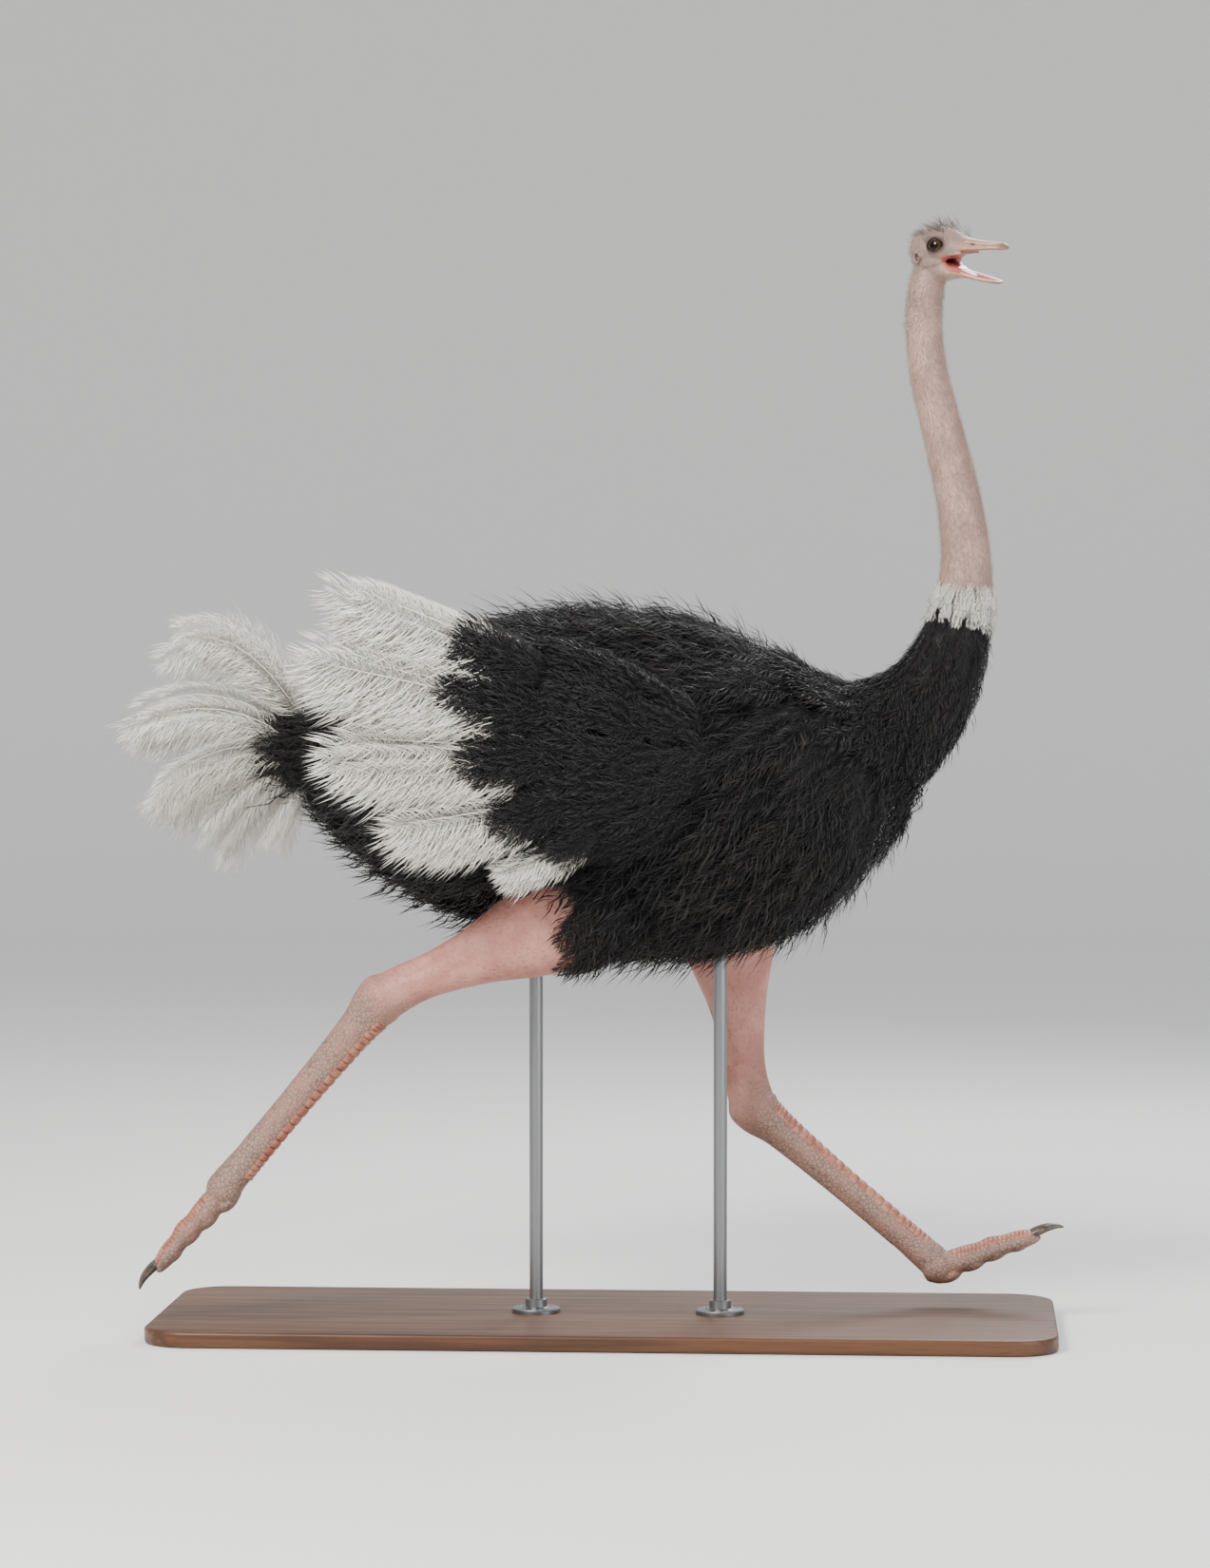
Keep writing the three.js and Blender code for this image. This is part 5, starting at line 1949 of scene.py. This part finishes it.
# %% Each point of the skin gets its numbers
skin_at = read_rows(skin.data.vertices, "co", 3)
in_head = moved_by(HEAD.inverted(), skin_at)
near_head = np.linalg.norm(in_head, axis=1) < 0.11
throat = in_hollow(in_head, 1.04)
# Painted shade: the skin deep under the coat is painted near-black, as the coat's shade.
dark = coat_shade_share(skin_at)
face = ramp(skin_at[:, 2], 1.90, 2.03) * ramp(in_head[:, 2], -0.09, -0.02)
stamp(skin, "face", face * near_head)
stamp(skin, "gape", np.maximum(mouth_share(in_head), throat) * near_head)
# Painted shade: darker inwards from the mouth into the throat's hollow.
stamp(skin, "throat_shade", throat * ramp(-in_head[:, 0], -0.026, -0.002) * near_head)
stamp(skin, "lid", np.maximum(*(lid_share(in_head, side) for side in SIDES)) * near_head)
stamp(skin, "scaly", np.maximum(*(scale_share(skin_at, side) for side in SIDES)))
stamp(skin, "dark", dark)
stamp(skin, "leg", ramp(0.95 - skin_at[:, 2], 0.0, 0.1) * (1 - dark))
print(f"skin: {dark.mean():.0%} of its points lie under the coat")

# %% [markdown]
# ## Finishes
# No finish uses an image. The skin is mottled by noise at two sizes, creased across the neck,
# pimpled with quill follicles on the thighs and netted with small scales on the legs.

# %% Skin


def skin_finish():
    made = Finish("bare_skin", Roughness=0.52)
    place = made.place()
    blotch = made.noise(place, 19.0, 4.0, 0.6)
    fine = made.noise(place, 160.0, 3.0, 0.6)
    scales = made.cells(made.stretched(place, (150, 150, 120)), 1.0, "DISTANCE_TO_EDGE")
    groove = made.step(scales, 0.02, 0.16)
    colour = made.mix(made.step(blotch, 0.36, 0.66), (0.335, 0.200, 0.165), (0.475, 0.300, 0.245))
    follicle = 1.0 - made.step(made.cells(place, 105.0), 0.05, 0.42)
    bare = 1.0 - made.own("scaly")
    quills = follicle * made.own("leg") * bare
    thigh = made.mix(made.step(blotch, 0.34, 0.68), (0.410, 0.155, 0.122), (0.540, 0.255, 0.200))
    thigh = made.mix(follicle * 0.32, thigh, (0.310, 0.110, 0.086))
    colour = made.mix(made.own("leg"), colour, thigh)
    scaled = made.mix(groove, (0.130, 0.080, 0.062), (0.285, 0.190, 0.145))
    scaled = made.mix(made.step(blotch, 0.40, 0.70) * 0.55, scaled, (0.360, 0.160, 0.120))
    colour = made.mix(made.own("scaly"), colour, scaled)
    colour = made.mix(made.own("face") * 0.75, colour, (0.235, 0.175, 0.152))
    colour = made.mix((fine - 0.5) * 0.5 + 0.22, colour, (0.165, 0.085, 0.068))
    colour = made.mix(made.own("lid") * 0.92, colour, (0.040, 0.030, 0.028))
    flesh = made.mix(fine, (0.36, 0.085, 0.074), (0.50, 0.155, 0.130))
    # Painted shade: the flesh goes near-black deep in the throat's hollow.
    flesh = made.mix(made.own("throat_shade"), flesh, (0.060, 0.012, 0.010))
    colour = made.mix(made.own("gape"), colour, flesh)
    # Painted shade: near-black skin under the coat, below the collar and on the wings' arms.
    colour = made.mix(made.own("dark"), colour, (0.030, 0.027, 0.028))
    crease = made.noise(made.stretched(place, (46, 46, 300)), 1.0, 3.0, 0.55)
    relief = crease * bare * 1.1 + quills * 1.7
    relief = relief + groove * made.own("scaly") * 1.1 + fine * 0.16
    made.set(
        Base_Color=colour,
        Roughness=made.own("gape") * -0.26 + made.own("scaly") * 0.06 + 0.54 + (fine - 0.5) * 0.16,
        Normal=made.bump(relief, 0.42, 0.0016),
    )
    return made


# %% Plumage, down and lashes


def plumage(name, deep, pale, root, roughness):
    """A feather finish: each feather has its own tone, and its root its own colour."""
    made = Finish(name, Specular_IOR_Level=0.26, Sheen_Weight=0.03, Sheen_Roughness=0.4)
    tone, along = made.own("tone"), made.own("along")
    colour = made.mix(tone, deep, pale)
    colour = made.mix(1.0 - made.step(along, 0.0, 0.45), colour, root)
    grain = made.noise(made.place(), 90.0, 2.0)
    return made.set(Base_Color=colour, Roughness=(grain - 0.5) * 0.22 + (tone - 0.5) * 0.10 + roughness)


# Each has its deepest tone, its palest, the colour of its roots, and its roughness.
PLUMAGES = {
    "black_plumage": ((0.0055, 0.0052, 0.0058), (0.0140, 0.0120, 0.0115), (0.009, 0.008, 0.008), 0.60),
    "covert_black": ((0.0050, 0.0050, 0.0062), (0.0125, 0.0112, 0.0115), (0.008, 0.007, 0.008), 0.52),
    "white_plumage": ((0.70, 0.665, 0.595), (0.86, 0.84, 0.785), (0.50, 0.46, 0.40), 0.78),
    "down": ((0.27, 0.200, 0.160), (0.50, 0.40, 0.33), (0.30, 0.190, 0.150), 0.75),
    "bristle": ((0.045, 0.032, 0.025), (0.115, 0.082, 0.062), (0.10, 0.075, 0.06), 0.55),
}
BLACK, COVERT, WHITE, DOWN, BRISTLE = (plumage(name, *look) for name, look in PLUMAGES.items())
LASH = Finish("lash", Base_Color=(0.008, 0.006, 0.006, 1), Roughness=0.38)


# %% Horn, claws and mouth


def horn_finish():
    made = Finish("bill_horn")
    place = made.place()
    streak = made.noise(made.stretched(place, (60, 60, 420)), 1.0, 4.0, 0.6)
    blotch = made.noise(place, 46.0, 3.0)
    colour = made.mix(made.step(streak, 0.3, 0.7), (0.285, 0.140, 0.092), (0.430, 0.250, 0.170))
    colour = made.mix(made.step(blotch, 0.5, 0.75) * 0.5, colour, (0.185, 0.100, 0.072))
    colour = made.mix(made.step(made.own("tip"), 0.78, 1.0) * 0.6, colour, (0.130, 0.072, 0.048))
    colour = made.mix(made.own("inner"), colour, (0.40, 0.110, 0.085))
    # Painted shade in the nostrils.
    colour = made.mix(made.own("nostril_shade") * 0.9, colour, (0.020, 0.010, 0.008))
    return made.set(
        Base_Color=colour,
        Roughness=(streak - 0.5) * 0.2 + 0.40,
        Normal=made.bump(streak + blotch * 0.6, 0.16, 0.0008),
    )


def scute_finish():
    made = Finish("scutes")
    place = made.place()
    blotch = made.noise(place, 60.0, 3.0)
    streak = made.noise(made.stretched(place, (240, 240, 240)), 1.0, 4.0, 0.65)
    colour = made.mix(made.step(blotch, 0.35, 0.68), (0.260, 0.085, 0.055), (0.400, 0.175, 0.115))
    colour = made.mix(made.step(streak, 0.52, 0.72) * 0.35, colour, (0.120, 0.050, 0.036))
    roughness = (streak - 0.5) * 0.2 + 0.44
    return made.set(Base_Color=colour, Roughness=roughness, Normal=made.bump(streak, 0.18, 0.0006))


def claw_finish():
    made = Finish("claw")
    streak = made.noise(made.stretched(made.place(), (110, 300, 110)), 1.0, 4.0, 0.6)
    colour = made.mix(made.step(streak, 0.35, 0.72), (0.028, 0.020, 0.017), (0.105, 0.078, 0.060))
    roughness = (streak - 0.5) * 0.25 + 0.34
    return made.set(Base_Color=colour, Roughness=roughness, Normal=made.bump(streak, 0.22, 0.0008))


def mouth_finish():
    made = Finish("mouth", Coat_Weight=0.35, Coat_Roughness=0.18)
    fine = made.noise(made.place(), 420.0, 3.0)
    colour = made.mix(fine, (0.40, 0.090, 0.080), (0.55, 0.175, 0.145))
    roughness = (fine - 0.5) * 0.2 + 0.36
    return made.set(Base_Color=colour, Roughness=roughness, Normal=made.bump(fine, 0.3, 0.0005))


# %% Eyes, wood, steel


def eye_finish():
    """The pupil, the brown iris and the dark rim are rings of the angle from the eye's axis."""
    made = Finish("eye", Specular_IOR_Level=0.22)
    angle = made.own("angle")
    unrolled = made.node("ShaderNodeCombineXYZ", None, {0: made.own("spoke") * 7.0, 1: angle * 9.0})
    spokes = made.noise(unrolled, 1.0, 4.0)
    iris = made.mix(made.step(spokes, 0.3, 0.7), (0.014, 0.006, 0.003), (0.060, 0.024, 0.010))
    iris = made.mix(made.step(angle, 0.185, 0.225), iris, (0.006, 0.003, 0.002))
    colour = made.mix(made.step(angle, 0.112, 0.124), (0.0012, 0.0012, 0.0012), iris)
    colour = made.mix(made.step(angle, 0.250, 0.285), colour, (0.050, 0.028, 0.022))
    return made.set(Base_Color=colour, Roughness=made.step(angle, 0.2, 0.3) * 0.12 + 0.05)


def wood_finish():
    """Growth rings cut lengthwise, with fine pores, under a satin varnish."""
    made = Finish("stained_wood", Coat_Weight=0.06, Coat_Roughness=0.30, Specular_IOR_Level=0.35)
    place = made.place()
    drift = made.noise(made.stretched(place, (0.9, 4.0, 4.0)), 1.0, 3.0)
    rings = made.noise(made.stretched(place, (0.55, 26, 26)), 1.0, 4.0, 0.6)
    figure = ((rings + drift * 0.7) * 26.0).sine() * 0.5 + 0.5
    pores = made.noise(made.stretched(place, (14, 620, 620)), 1.0, 2.0)
    colour = made.mix(figure * 0.8, (0.092, 0.036, 0.014), (0.040, 0.015, 0.0065))
    colour = made.mix(made.step(drift, 0.35, 0.70) * 0.6, colour, (0.122, 0.052, 0.021))
    colour = made.mix(made.step(pores, 0.60, 0.72) * 0.6, colour, (0.020, 0.008, 0.004))
    roughness = figure * 0.08 + (pores - 0.5) * 0.1 + 0.40
    relief = made.step(pores, 0.72, 0.58)
    return made.set(Base_Color=colour, Roughness=roughness, Normal=made.bump(relief, 0.12, 0.0004))


def steel_finish():
    made = Finish("brushed_steel", Base_Color=(0.235, 0.240, 0.248, 1), Metallic=1.0)
    brush = made.noise(made.stretched(made.place(), (900, 900, 9)), 1.0, 2.0)
    smudge = made.noise(made.place(), 9.0, 3.0)
    roughness = (brush - 0.5) * 0.18 + (smudge - 0.5) * 0.14 + 0.36
    return made.set(Roughness=roughness, Normal=made.bump(brush, 0.05, 0.0002))


# %% [markdown]
# ## Each piece gets its finish, and the solids that it stands for are hidden.
# Each piece gets its finish, its slot, and the names of the solids that it stands for.

# %% Dressing the skin


def dress(obj, finish, slot, *nodes):
    """Gives a piece its finish and hides the solids that it stands for. slot is not used."""
    obj.data.materials.clear()
    obj.data.materials.append(finish.material)
    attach(obj, "root")
    if nodes:
        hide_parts(*nodes)
    obj.data.calc_loop_triangles()
    print(f"{obj.name}: {len(obj.data.loop_triangles)} triangles")


LEG_SKIN = ("thigh", "shank", "hock", "tarsus", "knuckle", "toe_inner", "toe_outer")
ARM_SKIN = ("upper_arm", "forearm", "hand")
HEAD_SKIN = ("head", "ear_left", "ear_right", "neck_lower", "neck_middle", "neck_upper")
SKIN_NODES = [*HEAD_SKIN, "trunk", "tail_stub"]
SKIN_NODES += [f"leg_{side}_{part}" for side in SIDES for part in LEG_SKIN]
SKIN_NODES += [f"wing_{side}_{part}" for side in SIDES for part in ARM_SKIN]
dress(skin, skin_finish(), "skin", *SKIN_NODES)

# %% Dressing the bill, mouth, eyes, legs and stand
HORN, SCUTE, CLAW_HORN = horn_finish(), scute_finish(), claw_finish()
EYE_GLOSS, STEEL = eye_finish(), steel_finish()
dress(bill_upper, HORN, "horn", "bill_upper")
dress(bill_lower, HORN, "horn", "bill_lower")
dress(tongue, mouth_finish(), "mouth", "tongue")
dress(base, wood_finish(), "base_wood", "stand_base")
for where, piece in stand_steel.items():
    dress(piece, STEEL, "rod_steel", f"stand_rod_{where}", f"stand_flange_{where}")
for side in SIDES:
    dress(eyeballs[side], EYE_GLOSS, "eye", f"eye_{side}")
    dress(eyelashes[side], LASH, "down")
    dress(leg_scutes[side], SCUTE, "horn")
    dress(leg_claws[side], CLAW_HORN, "claw", f"leg_{side}_claw_inner", f"leg_{side}_claw_outer")

# %% Dressing the feathers, down and bristles
for side in SIDES:
    for piece in wing_coverts[side] + coverts_greater[side]:
        dress(piece, COVERT, "black_plumage")
    for piece in plumes_wing[side]:
        dress(piece, WHITE, "white_plumage", *[f"wing_{side}_plume_{i}" for i in range(1, 6)])
for piece in plumes_tail:
    dress(piece, WHITE, "white_plumage", *[f"tail_plume_{i}" for i in range(1, 6)])
for piece in coat_trunk + coat_neck + coat_legs + coat_tail:
    dress(piece, BLACK, "black_plumage")
for piece in coat_collar:
    dress(piece, WHITE, "white_plumage")
for piece in down_neck + down_face:
    dress(piece, DOWN, "down")
for piece in bristles:
    dress(piece, BRISTLE, "down")

# %% [markdown]
# ## The stage
# A pale floor that curves up into a round backdrop, so that it looks the same from every side, large
# soft lights, and a camera at the height of the bird's back, a few degrees in front of square on.

# %% The floor
FLOOR_RADIUS = 11
BEND_RADIUS = 4
WALL_TOP = 7


def backdrop():
    """A flat floor that turns up at its rim, like a very wide dish."""
    bm = bmesh.new()
    rim = FLOOR_RADIUS + BEND_RADIUS
    bend = [
        (FLOOR_RADIUS + BEND_RADIUS * np.sin(a), BEND_RADIUS - BEND_RADIUS * np.cos(a))
        for a in np.linspace(0, np.pi / 2, 14)
    ]
    profile = [(r, h - 0.0005) for r, h in [(0, 0), *bend, (rim, WALL_TOP)]]
    turned_profile(bm, profile, (0, 0), 96)
    made = to_object(bm, "backdrop")
    made.data.flip_normals()
    return made


floor = backdrop()
floor.data.materials.append(Finish("paper", Base_Color=(0.80, 0.795, 0.78, 1), Roughness=0.9).material)

# %% The lights
MIDDLE = Vector((-0.004, 0, 1.035))


def aimed(name, data, place, look):
    """Puts a lamp or a camera at a place, and turns it to look along a direction."""
    holder = bpy.data.objects.new(name, data)
    bpy.context.scene.collection.objects.link(holder)
    holder.location = place
    holder.rotation_euler = look.to_track_quat("-Z", "Y").to_euler()
    return holder


def soft_light(name, place, size, power, colour):
    lamp = bpy.data.lights.new(name, "AREA")
    lamp.size = size
    lamp.energy = power
    lamp.color = colour
    aimed(name, lamp, place, MIDDLE - Vector(place))


soft_light("key", (-2.6, -4.2, 4.4), 2.2, 640, (1.0, 0.97, 0.93))
soft_light("fill", (4.2, -3.4, 2.2), 3.0, 160, (0.94, 0.97, 1.0))
soft_light("rim", (1.6, 3.6, 4.0), 2.0, 200, (1.0, 1.0, 1.0))
world = bpy.data.worlds.new("room")
world.use_nodes = True
room = world.node_tree.nodes["Background"].inputs
room["Color"].default_value = (0.90, 0.92, 0.95, 1)
room["Strength"].default_value = 0.80
bpy.context.scene.world = world

# %% The camera
DISTANCE = 9.0
AZIMUTH = np.radians(4)
ELEVATION = np.radians(2)
FRAME_HEIGHT = 2.97
SENSOR = 24
lens = bpy.data.cameras.new("camera")
lens.sensor_fit = "VERTICAL"
lens.sensor_height = SENSOR
lens.lens = SENSOR * DISTANCE / FRAME_HEIGHT
level = np.cos(ELEVATION)
away = Vector((np.sin(AZIMUTH) * level, -np.cos(AZIMUTH) * level, np.sin(ELEVATION)))
camera = aimed("camera", lens, MIDDLE + DISTANCE * away, -away)
bpy.context.scene.camera = camera
print("camera:", [round(v, 2) for v in camera.location], "lens", round(lens.lens, 1))
